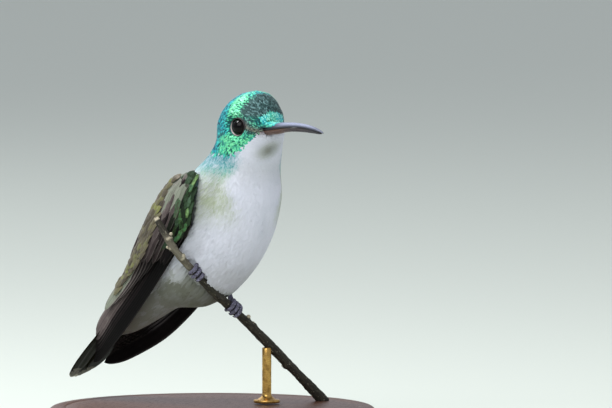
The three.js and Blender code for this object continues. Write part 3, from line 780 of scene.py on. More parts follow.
EYE_RADIUS, LID_OPENING, EYE_AROUND = 1.75, 1.56, 48
LID_SECTION = [  # over the rim from under the ball's edge: radius, degrees past it, paleness
    (1.55, 14, 0), (1.72, 8, 0.2), (1.8, 2.5, 0.8), (1.86, 0, 1), (1.95, -0.8, 0.9),
    (2.02, 1, 0.6), (2.06, 4, 0.3), (2.1, 9, 0.1), (2.16, 16, 0), (2.2, 24, 0), (1.9, 26, 0),
    (1.6, 20, 0),
]


def eye_rings(axis, centre, radius, degrees):
    """Rings about the eye's axis: a radius and an angle off the axis for each."""
    side = unit(np.cross((0, 0, 1.0), axis))
    over, turn = np.cross(axis, side), full_turn(EYE_AROUND)
    radius, lean = np.asarray(radius, float)[:, None], np.radians(degrees)[:, None]
    flat = np.sin(lean) * radius
    return (
        centre + axis * (np.cos(lean) * radius)[..., None]
        + side * (flat * np.cos(turn))[..., None] + over * (flat * np.sin(turn))[..., None]
    )


def glass_eye(w):
    fibres = w.place().noise(6, 3)
    colour = w.carried("lean").ramp(
        (0, "#010101"), (0.42, "#010101"), (0.5, "#0d0705"), (0.62, "#0a0504"), (1, "#030202"),
    )
    return {"Base Color": (fibres.rise(0.4, 0.7) * 0.3).between(colour, "#030202")}


def bare_lid(w):
    rim, back = w.carried("rim", "back")
    wrinkles = w.place().noise(5, 4)
    colour = rim.ramp(
        (0, "#2b2224"), (0.45, "#4a3b3d"), (0.7, "#927f80"), (0.9, "#d8cccb"), (1, "#b3a5a5"),
    )
    return {
        "Base Color": back.between(colour, "#1a1415"),
        "Roughness": 0.5 + 0.2 * wrinkles,
        "Normal": w.bump(wrinkles, 0.5, 0.05),
    }


glass = finish("glass eye", glass_eye, Roughness=0.02, Specular_IOR_Level=0.15)
lid_skin = finish("lid skin", bare_lid)
lean = np.linspace(178, 1, 60)
cornea = EYE_RADIUS + 0.05 * hump(lean, 0, 32)
lid_radius, past_edge, paleness = np.array(LID_SECTION).T
lid_lean = math.degrees(math.asin(LID_OPENING / (EYE_RADIUS + 0.1))) + past_edge
face_way = swung(np.array([0.75, 0, 0.66]), HEAD_TURN)
for side, word in ((-1, "right"), (1, "left")):
    axis = unit(EYE_AXES[side])
    ball = loft(eye_rings(axis, EYES[side], cornea, lean))
    off_front = np.repeat(np.minimum(lean / 90, 1), EYE_AROUND)
    eye = made(f"glass_eye_{word}", ball, glass, lean=off_front)
    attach(eye, "root")
    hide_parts(f"eye_{word}")
    rings = eye_rings(axis, EYES[side], lid_radius, lid_lean).swapaxes(0, 1)
    index = np.arange(rings.size // 3).reshape(rings.shape[:2])
    after = np.roll(index, -1, 0)
    faces = np.stack([index, after, np.roll(after, -1, 1), np.roll(index, -1, 1)], -1)
    places = rings.reshape(-1, 3)
    lid = made(
        f"lids_{word}", (places, faces.reshape(-1, 4).tolist()), lid_skin,
        rim=np.tile(paleness, EYE_AROUND),
        back=smooth((places - EYES[side]) @ face_way / 1.6, -0.75, 0.15),
    )
    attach(lid, "root")

# ---------------------------------------------------------------- feet
# Short shanks and small strong toes in dark purplish scaly skin, three toes over the front of
# the twig and one behind, with black curved claws. Wires in the shanks hold the bird.

TOE_RADIUS, TOE_SPACING, TOE_TOP, TOE_ROWS, TOE_AROUND = 0.4, 1.1, 118, 80, 20
TOES = [(-205, -TOE_SPACING), (-220, 0), (-205, TOE_SPACING), (105, 0)]  # sweep and shift along
CLAW_START = 0.84  # share of the toe
FEET = {"right": (0.248, (-0.6, -4.4, 35.5)), "left": (0.46, (0.6, 3.0, 29.5))}


def rounded(t, start, run, least):
    """A width that rounds off over a run from its start, to no less than the least."""
    return np.sqrt(np.clip(1 - ((t - start) / run).clip(0, 1) ** 2, least, 1))


def toe_skin(at, sweep, shift):
    """A toe with its joints and cross scutes, and its claw, as two skins."""
    share = np.linspace(0, 1, 9)
    reach = twig_radius(at) + TOE_RADIUS + 0.12 + 0 * share
    run = round_twig(at, TOE_TOP + sweep * share, reach, shift * smooth(share, 0, 0.35))
    twig_way = evenly(TWIG_RUN, np.array([at]))[1][0]
    t = np.linspace(0, 0.9, TOE_ROWS)
    places, along = evenly(run, t)
    radius = TOE_RADIUS * (1 - 0.16 * t) * (1 + 0.07 * np.cos(t / 0.9 * 6 * math.pi))
    scutes = np.abs(np.sin(t * 44))[:, None] ** 0.5 * 0.05
    toe = tube(places, along, twig_way, radius * rounded(t, 0.8, 0.1, 0.2), TOE_AROUND, scutes)
    t = np.linspace(CLAW_START, 1, 16)
    places, along = evenly(run, t)
    curl = (t - CLAW_START) / (1 - CLAW_START)
    places = places + unit(round_twig(at, 0, 0) - places) * 0.22 * curl[:, None] ** 2
    return loft(toe), loft(tube(places, along, twig_way, 0.25 * (1 - 0.9 * curl ** 1.3), 12))


def scaly_skin(w):
    place = w.place()
    scales = w.node("TexVoronoi", {"feature": "DISTANCE_TO_EDGE"}, {"Vector": place, "Scale": 3.2})
    seams = 1 - scales.rise(0.02, 0.14)
    dust = place.noise(2.5, 3)
    colour = dust.ramp((0.3, "#4a4754"), (0.55, "#74728a"), (0.75, "#a3a2b6"))
    return {
        "Base Color": (seams * 0.7).between(colour, "#1f1c24"),
        "Roughness": 0.45 + 0.25 * dust,
        "Normal": w.bump(scales.rise(0, 0.2), 0.6, 0.06),
    }


def claw_horn(w):
    streaks = w.place().stretched(2, 2, 6).noise(1.5, 2)
    return {"Base Color": streaks.between("#131116", "#33303a"), "Roughness": 0.25 + 0.2 * streaks}


foot_skin, claw_finish = finish("foot skin", scaly_skin), finish("claw horn", claw_horn)
for word, (at, hip) in FEET.items():
    toes, claws = zip(*(toe_skin(at, sweep, shift) for sweep, shift in TOES))
    ankle = round_twig(at, TOE_TOP, twig_radius(at) + TOE_RADIUS + 0.1)[0]
    t = np.linspace(0, 1, 40)
    places = lerp(np.array(hip), ankle, t[:, None])
    along = np.broadcast_to(unit(ankle - np.array(hip)), places.shape)
    radius = lerp(0.6, 0.44, t) + 0.04 * np.abs(np.sin(t * 22)) + 0.1 * hump(t, 1, 0.1)
    shank = loft(tube(places, along, (1.0, 0, 0), radius, 20))
    for name, shape, material, node in (
        ("toes", joined(*toes), foot_skin, "foot"), ("claws", joined(*claws), claw_finish, None),
        ("shank", shank, foot_skin, "leg"),
    ):
        piece = made(f"{name}_{word}", shape, material)
        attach(piece, "root")
        if node:  # the toes and their claws are one node
            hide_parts(f"{node}_{word}")

# ---------------------------------------------------------------- wings
# Each folded wing is its skin-covered arm, ten long dark primaries, six browner secondaries
# over them and rows of small coverts over the arm. Every feather has a shaft and two webs.

LEADING_EDGE = [
    (4.9, -9.3, 50.8), (4.1, -10.4, 45.6), (2.6, -10.4, 39.8), (-1.9, -9.6, 34.5),
    (-6.9, -8.8, 28.7), (-16.1, -7.0, 19.4), (-22.5, -4.6, 14.9), (-27.6, -2.4, 12.2),
]
BACK_EDGE = [
    (1.2, -7.4, 52.2), (-2.7, -8.0, 48.6), (-7.6, -7.6, 42.6), (-12.0, -6.8, 35.4),
    (-15.6, -6.0, 30.2), (-21.0, -5.0, 24.4), (-25.6, -4.0, 18.4), (-27.9, -2.6, 13.4),
]
WING_LENGTH, WING_CLEARANCE = 54.0, 0.5
LEFT_DROOP, LEFT_REACH, LEFT_SPREAD = 2.6, 1.2, 0.2  # the left wing hangs lower and reaches on
ARM_END, ARM_MIDDLE, ARM_RISE = 0.4, 0.42, 0.85
FANS = {  # places are shares along and across the wing; light goes from the first to the last
    "primaries": {
        "count": 10, "start": 0.14, "from": (0.1, 0.66), "to": (0.22, 0.88), "reach": (1, 0.86),
        "ease": 1.1, "half": 1.35, "low": 0.05, "tip": 0.12, "length": 42, "fade": 2.2,
        "light": {-1: (-0.12, 0.75), 1: (0.15, 0.75)},
    },
    "secondaries": {
        "count": 6, "start": 0.24, "from": (0.48, 0.84), "to": (0.5, 0.9), "reach": (0.54, 0.74),
        "ease": 1, "half": 1.3, "low": 0.95, "tip": 0.35, "length": 21, "fade": 1.9,
        "light": {-1: (0.1, 0.95), 1: (0.1, 0.95)},
    },
}
FAN_RISE = 0.5  # from the lowest feather of a fan to its highest
COVERT_ROWS = [  # start, reach, half-width, light, limits across, and how high above the others
    (0.27, 0.2, 1.15, 0.45, (0.1, 0.95), 0), (0.215, 0.14, 1.0, 0.4, (0.08, 0.9), 0),
    *((s, 0.078, 0.8, 0.45, (0, 0.6), 0) for s in np.arange(0.0, 0.25, 0.03)[::-1]),
    *((s, 0.2, 0.85, 1 - 2 * s, (0.36, 0.96), 0.12) for s in np.arange(0.0, 0.32, 0.04)[::-1]),
]
WEB = np.array([1, 0.8, 0.5, 0.2, 0.07, 0, -0.07, -0.2, -0.5, -0.8, -1])  # places across a feather
WEB_RING = np.concatenate([WEB, WEB[1:-1][::-1]])  # over the top and back underneath
tip_way = unit(through(LEADING_EDGE, 1) - through(LEADING_EDGE, 0.999))
draws = np.random.default_rng(11)


def off_body(places, height):
    """Places moved out to the wing's clearance off the body, then lifted by a height."""
    tables = body_centre, body_size, body_forward, body_left, body_down
    centre, size, *axes = at_share(share_near(places), *tables)
    forward, left, down = axes
    ahead, aside, below = (((places - centre) * axis).sum(-1)[..., None] for axis in axes)
    depth = np.where(ahead > 0, size[..., 1:2], size[..., :1]) + WING_CLEARANCE
    half = size[..., 2:] + WING_CLEARANCE
    reach = np.minimum(1, np.hypot(ahead / depth, aside / half))
    out = unit(forward * (ahead / depth ** 2) + left * (aside / half ** 2))
    return (
        centre + forward * ahead / reach + left * aside / reach
        + down * below + out * np.asarray(height)[..., None]
    )


def wing_place(s, w, height, side):
    """A place on a folded wing: s to its tip, w across it from the leading edge."""
    s, w, height = np.broadcast_arrays(*(np.asarray(v, float) for v in (s, w, height)))
    spread = 1 + LEFT_SPREAD * smooth(s, 0.6, 0.95) * (side > 0)
    at = lerp(through(LEADING_EDGE, s), through(BACK_EDGE, s), (w * spread)[..., None])
    if side > 0:
        at[..., 2] -= LEFT_DROOP * np.sin(math.pi * np.clip(s, 0, 1)) * (1 - w)
        at = at + tip_way * (LEFT_REACH * s ** 2)[..., None]
    return off_body(at, height) * (1, -side, 1)


def breadth(s):
    return span(through(LEADING_EDGE, s) - through(BACK_EDGE, s)) + 0.75


def web_section(shaft_at, thick, camber, shaft):
    """Across and height of a feather's section: thin webs that bow down from a raised shaft."""
    top = np.arange(len(WEB_RING)) < len(WEB)
    across = WEB_RING + shaft_at * (1 - WEB_RING ** 2)
    height = -camber * WEB_RING ** 2 + np.where(top, 0.5, -0.5) * thick * (1 - 0.6 * WEB_RING ** 2)
    return across, height + hump(WEB_RING, 0, 0.09) * np.where(top, shaft, -0.6 * shaft)


def wing_vane(side, start, end, half, heights, rows, tip, thick=0.1, camber=0.12, shaft=0.07,
              shaft_at=0.0):
    """One feather laid on the wing from start to end, each (s, w), and its web coordinates."""
    t = np.linspace(0, 1, rows)
    s, w = lerp(np.array(start), np.array(end), t[:, None]).T
    width = half * lerp(0.3, 1, smooth(t, 0, 0.2)) * rounded(t, 1 - tip, tip, 0.01)
    across, height = web_section(shaft_at, thick, camber, shaft)
    rise = np.interp(t, np.linspace(0, 1, len(heights)), heights)[:, None]
    rise = rise + height * np.where(np.abs(height) > 0.06, (1 - 0.6 * t)[:, None], 1)
    w = w[:, None] + across * (width / breadth(s))[:, None]
    places = wing_place(s[:, None], w, rise, side)
    if side < 0:
        places, across = places[:, ::-1], across[::-1]
    return places, np.repeat(t, len(across)), np.tile(across, rows)


def bunch(name, vanes, material, slot, **each):
    """Feathers in one piece, which carry one value for all of them or a value for each."""
    places, along, across = zip(*vanes)
    carried = {}
    for key, values in each.items():
        values = np.asarray(values, float)
        values = values if values.ndim else np.full(len(vanes), values)
        carried[key] = np.repeat(values, [len(t) for t in along], axis=0)
    thing = made(
        name, joined(*(loft(rings) for rings in places)), material,
        along=np.concatenate(along), across=np.concatenate(across), **carried,
    )
    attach(thing, "root")
    return thing


def flight_web(w):
    along, across, tone = w.carried("along", "across", "tone")
    light, green, length = w.carried("light", "green", "length")
    side = abs(across)
    barbs = (along * length * 9 + side * 6).wave() * side.rise(0.08, 0.2)
    shaft = 1 - side.rise(0.03, 0.13)
    mottle = w.place().noise(0.8, 3)
    web = (light + (tone - 0.5) * 0.25 + (mottle - 0.5) * 0.25).ramp(
        (0, "#040303"), (0.3, "#181213"), (0.55, "#3d3434"), (0.8, "#655b59"), (1, "#8a8f80"),
    )
    web = (side.rise(0.6, 0.97) * light.rise(0, 0.8, 0.06, 0.5)).between(web, "#a09893")
    mossy = tone.ramp((0, "#1c261c"), (0.5, "#3b5638"), (1, "#648550"))
    web = (green * 0.75).between(web, mossy)
    rim = ((along - 0.55) * 2.1).squared() + side.squared()
    flecks = w.place().noise(1.9, 3).rise(0.4, 0.58)
    glint = green * (1 - rim.rise(0.45, 1.0)) * flecks * tone.rise(0.25, 0.7)
    web = glint.between(web, tone.ramp(
        (0.3, "#4b5a4c"), (0.55, "#58705c"), (0.75, "#4a8250"), (0.9, "#5c9a58"), (1, "#87a26c"),
    ))
    web = (barbs * 0.22).between(web, "#050405")
    return {
        "Base Color": (shaft * 0.5).between(web, "#0b0908"),
        "Metallic": glint * 0.1,
        "Roughness": 0.58 + 0.12 * barbs,
        "Normal": w.bump(barbs * 0.5 + shaft, 0.4, 0.04),
    }


def flight_fan(side, fan):
    """The long feathers of one fan, from the leading edge inwards."""
    vanes, lights = [], []
    for inward in np.linspace(0, 1, fan["count"]):
        reach, low = lerp(*fan["reach"], inward ** fan["ease"]), fan["low"] + FAN_RISE * inward
        start, end = (fan["start"], lerp(*fan["from"], inward)), (reach, lerp(*fan["to"], inward))
        heights = (low, low + 0.05, low + 0.05, low)
        vanes.append(wing_vane(
            side, start, end, fan["half"], heights, rows=44, tip=fan["tip"], shaft_at=-0.35,
        ))
        lights.append(lerp(*fan["light"][side], inward ** fan["fade"]))
    return vanes, lights


def swell(t):
    """How the arm swells between its two ends."""
    return np.sqrt(np.maximum(0.01, 1 - (2 * t - 1) ** 2)) ** 0.7


def arm_height(s, w):
    """How high the arm's skin stands off the wing's underside."""
    full = swell(np.clip(s / ARM_END, 0, 1))
    across = np.clip((w - ARM_MIDDLE) / (0.5 * full), -1, 1)
    return 1 + ARM_RISE * full * np.sqrt(1 - across ** 2)


def arm_skin(side):
    t, turn = np.linspace(0, 1, 30)[:, None], full_turn(24)
    height = 1.0 + ARM_RISE * swell(t) * np.sin(turn)
    rings = wing_place(ARM_END * t, ARM_MIDDLE + 0.47 * swell(t) * np.cos(turn), height, side)
    return rings if side > 0 else rings[:, ::-1]


def across_wing(s, number, first, last, gap):
    """Even places across the wing, every other row of them half a step on."""
    step = gap / breadth(s)
    return np.arange(first, last, step) + (number % 2) * 0.5 * step


def coverts(side):
    """Rows of coverts over the arm with their tone, light, green and length."""
    vanes, values = [], []
    for number, (s, reach, half, light, limits, above) in enumerate(COVERT_ROWS):
        full = swell(min((s + 0.035) / ARM_END, 0.6))
        first = max(limits[0], ARM_MIDDLE - 0.46 * full)
        last = min(limits[1], ARM_MIDDLE + 0.54 * full)
        for w in across_wing(s, number, first, last, 1.35 * half):
            begin, stop = s + draws.normal(0, 0.003), s + reach + draws.normal(0, 0.005)
            over = 0.04 + 0.02 * draws.random() + above
            low = arm_height(begin, w) - 0.3 + above
            flat = lerp(0.75, 1.75, smooth(w, 0.35, 0.55))
            far = lerp(arm_height(0.36, w), flat, min(1, max(0, stop - 0.36) / 0.08))
            high = (arm_height(stop, w) if stop < 0.36 else far) + over
            bulge = arm_height((begin + stop) / 2, w) if stop < ARM_END else 0
            middle = max(lerp(low + 0.3, high, 0.5), bulge) + over
            vanes.append(wing_vane(
                side, (begin, w), (stop, w + draws.normal(0, 0.01)),
                half * (1 + draws.normal(0, 0.06)), (low, middle, high), rows=14, tip=0.4,
                thick=0.06, camber=0.16, shaft=0.03,
            ))
            tone, lit = draws.random(), smooth(w, 0.1, ARM_MIDDLE + 1.6 * min(s, 0.25))
            lit = light * lit + draws.normal(0, 0.14) + 0.1
            green = fade(w, 0.3, 0.42) * fade(s, 0.2, 0.27) * draws.choice([1, 0.7, 0.2])
            values.append((tone, lit, green, reach * WING_LENGTH))
    return vanes, *zip(*values)


def mantle(side):
    """Bronze back feathers that overlap the inner edge of the wing, with their tone."""
    vanes, tones = [], []
    for number, s in enumerate(np.arange(0.07, 0.6, 0.022)[::-1]):
        first = 0.88 - 0.22 * smooth(s, 0.12, 0.3) + 0.22 * smooth(s, 0.4, 0.58)
        last = 1.06 + 0.12 * smooth(s, 0.28, 0.34)
        for w in across_wing(s, number, first, last, 0.95):
            begin = s + draws.normal(0, 0.004)
            high = lerp(1.75 + 0.45 * smooth(s, 0.12, 0.3), 0.95, smooth(w, 0.9, 1.08))
            high = high + 0.1 * draws.random() - 0.3 * smooth(s, 0.45, 0.6)
            high = lerp(high, 0.35, smooth(w, 1.06, 1.2))
            vanes.append(wing_vane(
                side, (begin, w), (begin + 0.06, w + draws.normal(0, 0.01)),
                0.62 * (1 + draws.normal(0, 0.08)), (high - 0.5, high, high + 0.04), rows=9,
                tip=0.5, thick=0.05, camber=0.14, shaft=0.02,
            ))
            tones.append(draws.random())
    return vanes, tones


flight = finish("flight feathers", flight_web, Specular_IOR_Level=0.06)
for side, word in ((-1, "right"), (1, "left")):
    for name, fan in FANS.items():
        vanes, lights = flight_fan(side, fan)
        feathers = bunch(
            f"{name}_{word}", vanes, flight, "flight_feathers", light=lights, green=0,
            tone=draws.random(len(vanes)), length=fan["length"],
        )
        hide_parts(f"wing_{word}_{name}")
    vanes, tone, light, green, length = coverts(side)
    bunch(
        f"wing_coverts_{word}", vanes, flight, "bronze_plumage", tone=tone, light=light,
        green=green, length=length,
    )
    vanes, tone = mantle(side)
    bunch(
        f"scapulars_{word}", vanes, feathered, "bronze_plumage", tone=tone, green=1, bronze=1,
        hue=0.7, gleam=0.4, wash=0, lore=0, dusk=0, cap=0,
        root=[places[0].mean(0) for places, _, _ in vanes],
    )
    arm_rings = arm_skin(side)
    half = np.full(arm_rings.size // 3, 0.5)
    arm = made(
        f"arm_{word}", loft(arm_rings), flight, light=half * 0.5,
        **dict.fromkeys(("along", "across", "tone", "green", "length"), half),
    )
    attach(arm, "root")
    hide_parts(f"wing_{word}_arm")

# ---------------------------------------------------------------- tail
# Ten bronze-green tail feathers, the middle pair on top, closed to a narrow blade. The quills
# are set in the skin and the tips are edged with pale grey.

TAIL_ROOT, TAIL_TIP = np.array([-16.3, 0, 28.2]), np.array([-35.4, 0, 9.1])
TAIL_SPREAD, TAIL_HALF, TAIL_STEP = 3.4, 2.3, 0.22
TAIL_RANKS = [5, -5, 4, -4, 3, -3, 2, -2, 1, -1]  # from the lowest, left and right of the middle
tail_run = TAIL_TIP - TAIL_ROOT
tail_up = unit(np.cross((0, 1, 0), tail_run))


def tail_vane(rank):
    below, out = abs(rank), math.copysign((abs(rank) - 0.5) / 4.5, rank)
    t = np.linspace(0, 1, 40)
    reach = t * (1 - 0.1 * out ** 2)
    centre = TAIL_ROOT + tail_run * reach[:, None] - tail_up * TAIL_STEP * below
    centre[:, 1] = out * TAIL_SPREAD * np.sin(math.pi * lerp(0.2, 0.8, t))
    across, height = web_section(0.25 * np.sign(-out), 0.16, 0.1, 0.07)
    width = TAIL_HALF * lerp(0.5, 1, t) * rounded(t, 0.84, 0.16, 0.01)
    height = height * np.where(np.abs(height) > 0.1, (1 - 0.6 * t)[:, None], 1)
    sideways = np.array([0, 1.0, 0]) * (width[:, None] * across)[..., None]
    places = centre[:, None] + sideways + tail_up * height[..., None]
    return places, np.repeat(t, len(across)), np.tile(across, len(t))


def bronze_web(w):
    along, across, tone, outer = w.carried("along", "across", "tone", "outer")
    side = abs(across)
    barbs = (along * 190 + side * 7).wave() * side.rise(0.08, 0.2)
    shaft = 1 - side.rise(0.03, 0.12)
    mottle = w.place().noise(0.7, 3)
    web = (tone * 0.5 + mottle * 0.6).ramp((0.2, "#0a0d08"), (0.5, "#12160c"), (0.8, "#202413"))
    web = (side.rise(0.6, 1.0) * 0.25).between(web, "#403a28")
    tip = (along + (1 - side) * 0.012).rise(0.958, 0.972) * outer
    web = (tip * 0.95).between(web, "#d2d0be")
    web = (barbs * 0.25).between(web, "#080a06")
    return {
        "Base Color": (shaft * 0.5).between(web, "#120f0b"),
        "Metallic": 0.08 - 0.08 * tip,
        "Roughness": 0.42 + 0.12 * barbs,
        "Normal": w.bump(barbs * 0.5 + shaft, 0.4, 0.04),
    }


tail = bunch(
    "tail_feathers", [tail_vane(rank) for rank in TAIL_RANKS],
    finish("bronze web", bronze_web, Specular_IOR_Level=0.06), "bronze_plumage",
    tone=draws.random(len(TAIL_RANKS)),
    outer=[0.9 if abs(rank) < 3 else 0.3 for rank in TAIL_RANKS],
)
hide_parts("tail")

# ---------------------------------------------------------------- small feathers
# Thousands of small feathers set in the skin, each tip over the root of the next. They are
# tiny scales on the face, rounded on nape and back, and long, soft and white underneath.

CANDIDATES, BILL_FEATHERS = 150000, 260
FEATHER_ROWS = 6
BILL_ROOT = in_head(BILL_SEAT - 0.6, 0, -BILL_DROP)
RING_ACROSS, RING_TOP = np.array([1, 0, -1, 0]), np.array([0, 1, 0, 0.15])
FROM_BILL = [1, 4, 8, 12, 18, 28, 42, 60]  # how far from the bill the next two lines hold
LENGTHS = [0.7, 0.85, 1.1, 1.7, 2.3, 2.8, 3.2, 3.8]
SPACINGS = [0.16, 0.19, 0.23, 0.27, 0.32, 0.36, 0.4, 0.5]
TWIG_GAP, BILL_GAP, TOE_GAP, EYE_GAP = 0.12, 1.3, 1.0, 1.72  # how far the feathers keep away
HIGHEST = 2.2  # over an arm's edge
CELL = 0.4  # for looking up neighbours
ARM_SEARCH = 5  # how far over the coat the arm is looked for
TRACTS = [  # name, slot, and the share of the body's run where it ends
    ("crown", "green_plumage", 0.15), ("face", "green_plumage", 0.27),
    ("neck", "white_plumage", 0.42), ("breast", "white_plumage", 0.54),
    ("belly", "white_plumage", 0.67), ("vent", "white_plumage", 2),
]
coat_points, coat_share = body_surface(220, 120, eye_hollow)
coat_skin = loft(coat_points)
coat_tree = BVHTree.FromPolygons(coat_skin[0].tolist(), coat_skin[1])
quills = np.random.default_rng(5)


def feather_sizes(places, share):
    """Length, half-width, spacing and softness of the feathers at places."""
    from_bill = span(places - BILL_ROOT)
    by_eye = np.minimum(from_bill, 2 + 2.2 * np.maximum(from_eye(places) - 1.2, 0))
    apart = np.where(share < 0.36, by_eye, from_bill)
    white = fade(markings(places, share)["green"], 0.3, 0.8)
    length, spacing = np.interp(apart, FROM_BILL, LENGTHS), np.interp(apart, FROM_BILL, SPACINGS)
    return length, spacing * lerp(1.0, 1.25, white), spacing, white * smooth(apart, 2, 8)


def scattered(count):
    """Random places all over the coat's surface, closest where its feathers are smallest."""
    rows, around = coat_share.shape
    here, beside, below = coat_points[:-1], np.roll(coat_points, -1, 1)[:-1], coat_points[1:]
    area = span(np.cross(beside - here, below - here))
    closeness = (area / feather_sizes(here, coat_share[:-1])[2] ** 2).ravel()
    picked = quills.choice(len(closeness), count, p=closeness / closeness.sum())
    row, column = np.divmod(picked, around)
    u, v = quills.random((2, count, 1))
    after = (column + 1) % around
    top = coat_points[row, column] * (1 - v) + coat_points[row, after] * v
    low = coat_points[row + 1, column] * (1 - v) + coat_points[row + 1, after] * v
    return top * (1 - u) + low * u, (row + u[:, 0]) / (rows - 1), (column + v[:, 0]) / around


def spread_out(places, gaps):
    """The first of the places that keep their distance from those before them."""
    kept, cells = [], {}
    keys = np.floor(places / CELL).astype(int).tolist()
    for i, (place, key, gap) in enumerate(zip(places.tolist(), keys, gaps.tolist())):
        reach = math.ceil(gap / CELL)
        x, y, z = place
        if not any(
            (a - x) ** 2 + (b - y) ** 2 + (c - z) ** 2 < gap * gap
            for near in product(*(range(k - reach, k + reach + 1) for k in key))
            for a, b, c in cells.get(near, ())
        ):
            kept.append(i)
            cells.setdefault(tuple(key), []).append(place)
    return np.array(kept)


def on_coat(places):
    """The nearest places on the coat's surface and the way out of it there."""
    found = [coat_tree.find_nearest(Vector(place))[:2] for place in places.tolist()]
    spots, normals = (np.array([list(v) for v in part]) for part in zip(*found))
    return spots, pointed(normals, spots - at_share(share_near(spots), body_centre))


def lie_of(places, normals):
    """The way the feathers lie: back from the bill, round the eyes, then down the body."""
    away = places - BILL_ROOT
    down = at_share(share_near(places), body_down)
    way = lerp(unit(away), down, smooth(span(away)[..., None], 5, 13))
    for side in EYES:
        forth, off = off_axis(places, side)
        near = fade(span(off), 1.7, 3.6) * (forth > 0)
        inward = np.minimum((way * unit(off)).sum(-1), 0)
        way = way - unit(off) * (inward * near)[:, None]
    return unit(way - normals * (way * normals).sum(-1, keepdims=True))


def from_run(places, run, radii):
    """How far places are outside a tube along a run."""
    best = np.full(places.shape[:-1], FAR)
    for spot, radius in zip(run, np.broadcast_to(radii, len(run))):
        best = np.minimum(best, span(places - spot) - radius)
    return best


candidates, root_share, root_turn = scattered(CANDIDATES)
length, half, spacing, soft = feather_sizes(candidates, root_share)
kept = spread_out(candidates, spacing)
roots, length, half, soft, root_share, root_turn = (
    v[kept] for v in (candidates, length, half, soft, root_share, root_turn)
)
length *= quills.normal(1, 0.08, len(kept))
sway = quills.normal(0, 0.06, (len(kept), 1)) * (1 - 0.4 * soft[:, None])
steps = [on_coat(roots)]
for _ in range(FEATHER_ROWS - 1):
    places, normals = steps[-1]
    way = lie_of(places, normals)
    way = unit(way + np.cross(normals, way) * sway)
    steps.append(on_coat(places + way * (length / (FEATHER_ROWS - 1))[:, None]))
spine, outward = (np.stack(v, 1) for v in zip(*steps))

# A feather stops short of the twig, the feet and the bill.
share = np.linspace(0, 1, 120)
room = from_run(spine, evenly(TWIG_RUN, share)[0], twig_radius(share) + TWIG_GAP)
room = np.minimum(room, from_run(spine, evenly(BILL_RUN, np.linspace(0, 0.6, 30))[0], BILL_GAP))
for at, hip in FEET.values():
    near_foot = evenly(TWIG_RUN, np.linspace(at - 0.03, at + 0.03, 9))[0]
    room = np.minimum(room, from_run(spine, near_foot, twig_radius(at) + TOE_GAP))

# Feathers rooted in front of a folded arm puff up and lie over its edge; none grow beneath it.
over_arm, puff = np.zeros(room.shape), np.zeros(room.shape)
for side in (-1, 1):
    arm_points, arm_faces = loft(arm_skin(side))
    arm_tree = BVHTree.FromPolygons(arm_points.tolist(), arm_faces)
    front_edge = wing_place(np.linspace(0.0, 0.34, 40), 0.03, -WING_CLEARANCE, side)
    beside = (spine[:, 0, 1] * side > 2) & (root_share > 0.34) & (root_share < 0.8)
    near_arm = np.nonzero(beside)[0]
    puff[near_arm] = 1.2 * fade(from_run(spine[near_arm], front_edge, 0), 0.3, 4.2)
    for i, step in product(near_arm, range(FEATHER_ROWS)):
        out = outward[i, step]
        high = Vector(spine[i, step] + out * ARM_SEARCH)
        found = arm_tree.ray_cast(high, Vector(-out), ARM_SEARCH)[3]
        if found is not None:
            over_arm[i, step] = ARM_SEARCH - found
puff += 0.45 * hump(from_thigh(spine), 0, 1.5)
for side in (-1, 1):  # full feathers at the corners of the chin
    puff += 0.4 * hump(span(spine - in_head(5.4, 3.2 * side, -2.4)), 0, 1.7)
room = np.where(over_arm > puff + fade(root_share, 0.52, 0.6)[:, None], -1, room)
reach = np.cumprod(room > 0, axis=1).sum(1) / FEATHER_ROWS
clear_of_eyes = (from_eye(spine).min(1) > EYE_GAP) | (root_share > HEAD_ENDS)
keep = (reach > 0.4) & clear_of_eyes & (over_arm[:, 0] == 0)
spine, outward, over_arm, puff, roots, length, half, soft, reach, root_share, root_turn = (
    v[keep] for v in
    (spine, outward, over_arm, puff, roots, length, half, soft, reach, root_share, root_turn)
)
cut = np.linspace(0, 1, FEATHER_ROWS) * reach[:, None] * (FEATHER_ROWS - 1)
low = np.minimum(cut.astype(int), FEATHER_ROWS - 2)
rest, each = cut - low, np.arange(len(roots))[:, None]
over_arm, puff, spine, outward = (
    v[each, low] * (1 - w) + v[each, low + 1] * w for v, w in
    ((over_arm, rest), (puff, rest), (spine, rest[..., None]), (outward, rest[..., None]))
)

# More of them run forward over the root of the upper bill.
bill_turn = quills.uniform(0.1, 0.9, BILL_FEATHERS) * math.pi
bill_start = 0.1 + quills.uniform(0.02, 0.2, BILL_FEATHERS) * lerp(0.8, 1, np.sin(bill_turn))
bill_share = bill_start[:, None] - np.linspace(0, 0.9 / BILL_LENGTH, FEATHER_ROWS)
bill_spine, bill_out = (
    v.reshape(BILL_FEATHERS, FEATHER_ROWS, 3)
    for v in on_bill(bill_share.ravel(), np.repeat(bill_turn, FEATHER_ROWS))
)
fairing = 0.5 * fade(bill_share, 0.08, 0.2)
depth = coat_depth(roots, root_share)
spine, outward, over_arm, puff, roots, length, half, soft, depth, root_share, root_turn = (
    np.concatenate([v, np.broadcast_to(more, (BILL_FEATHERS, *v.shape[1:]))]) for v, more in (
        (spine, bill_spine), (unit(outward), bill_out), (over_arm, 0), (puff, fairing),
        (roots, bill_spine[:, 0]), (length * reach, 0.9), (half, 0.17), (soft, 0), (depth, 0.05),
        (root_share, 0.16), (root_turn, bill_turn / 20),
    )
)
count = len(roots)

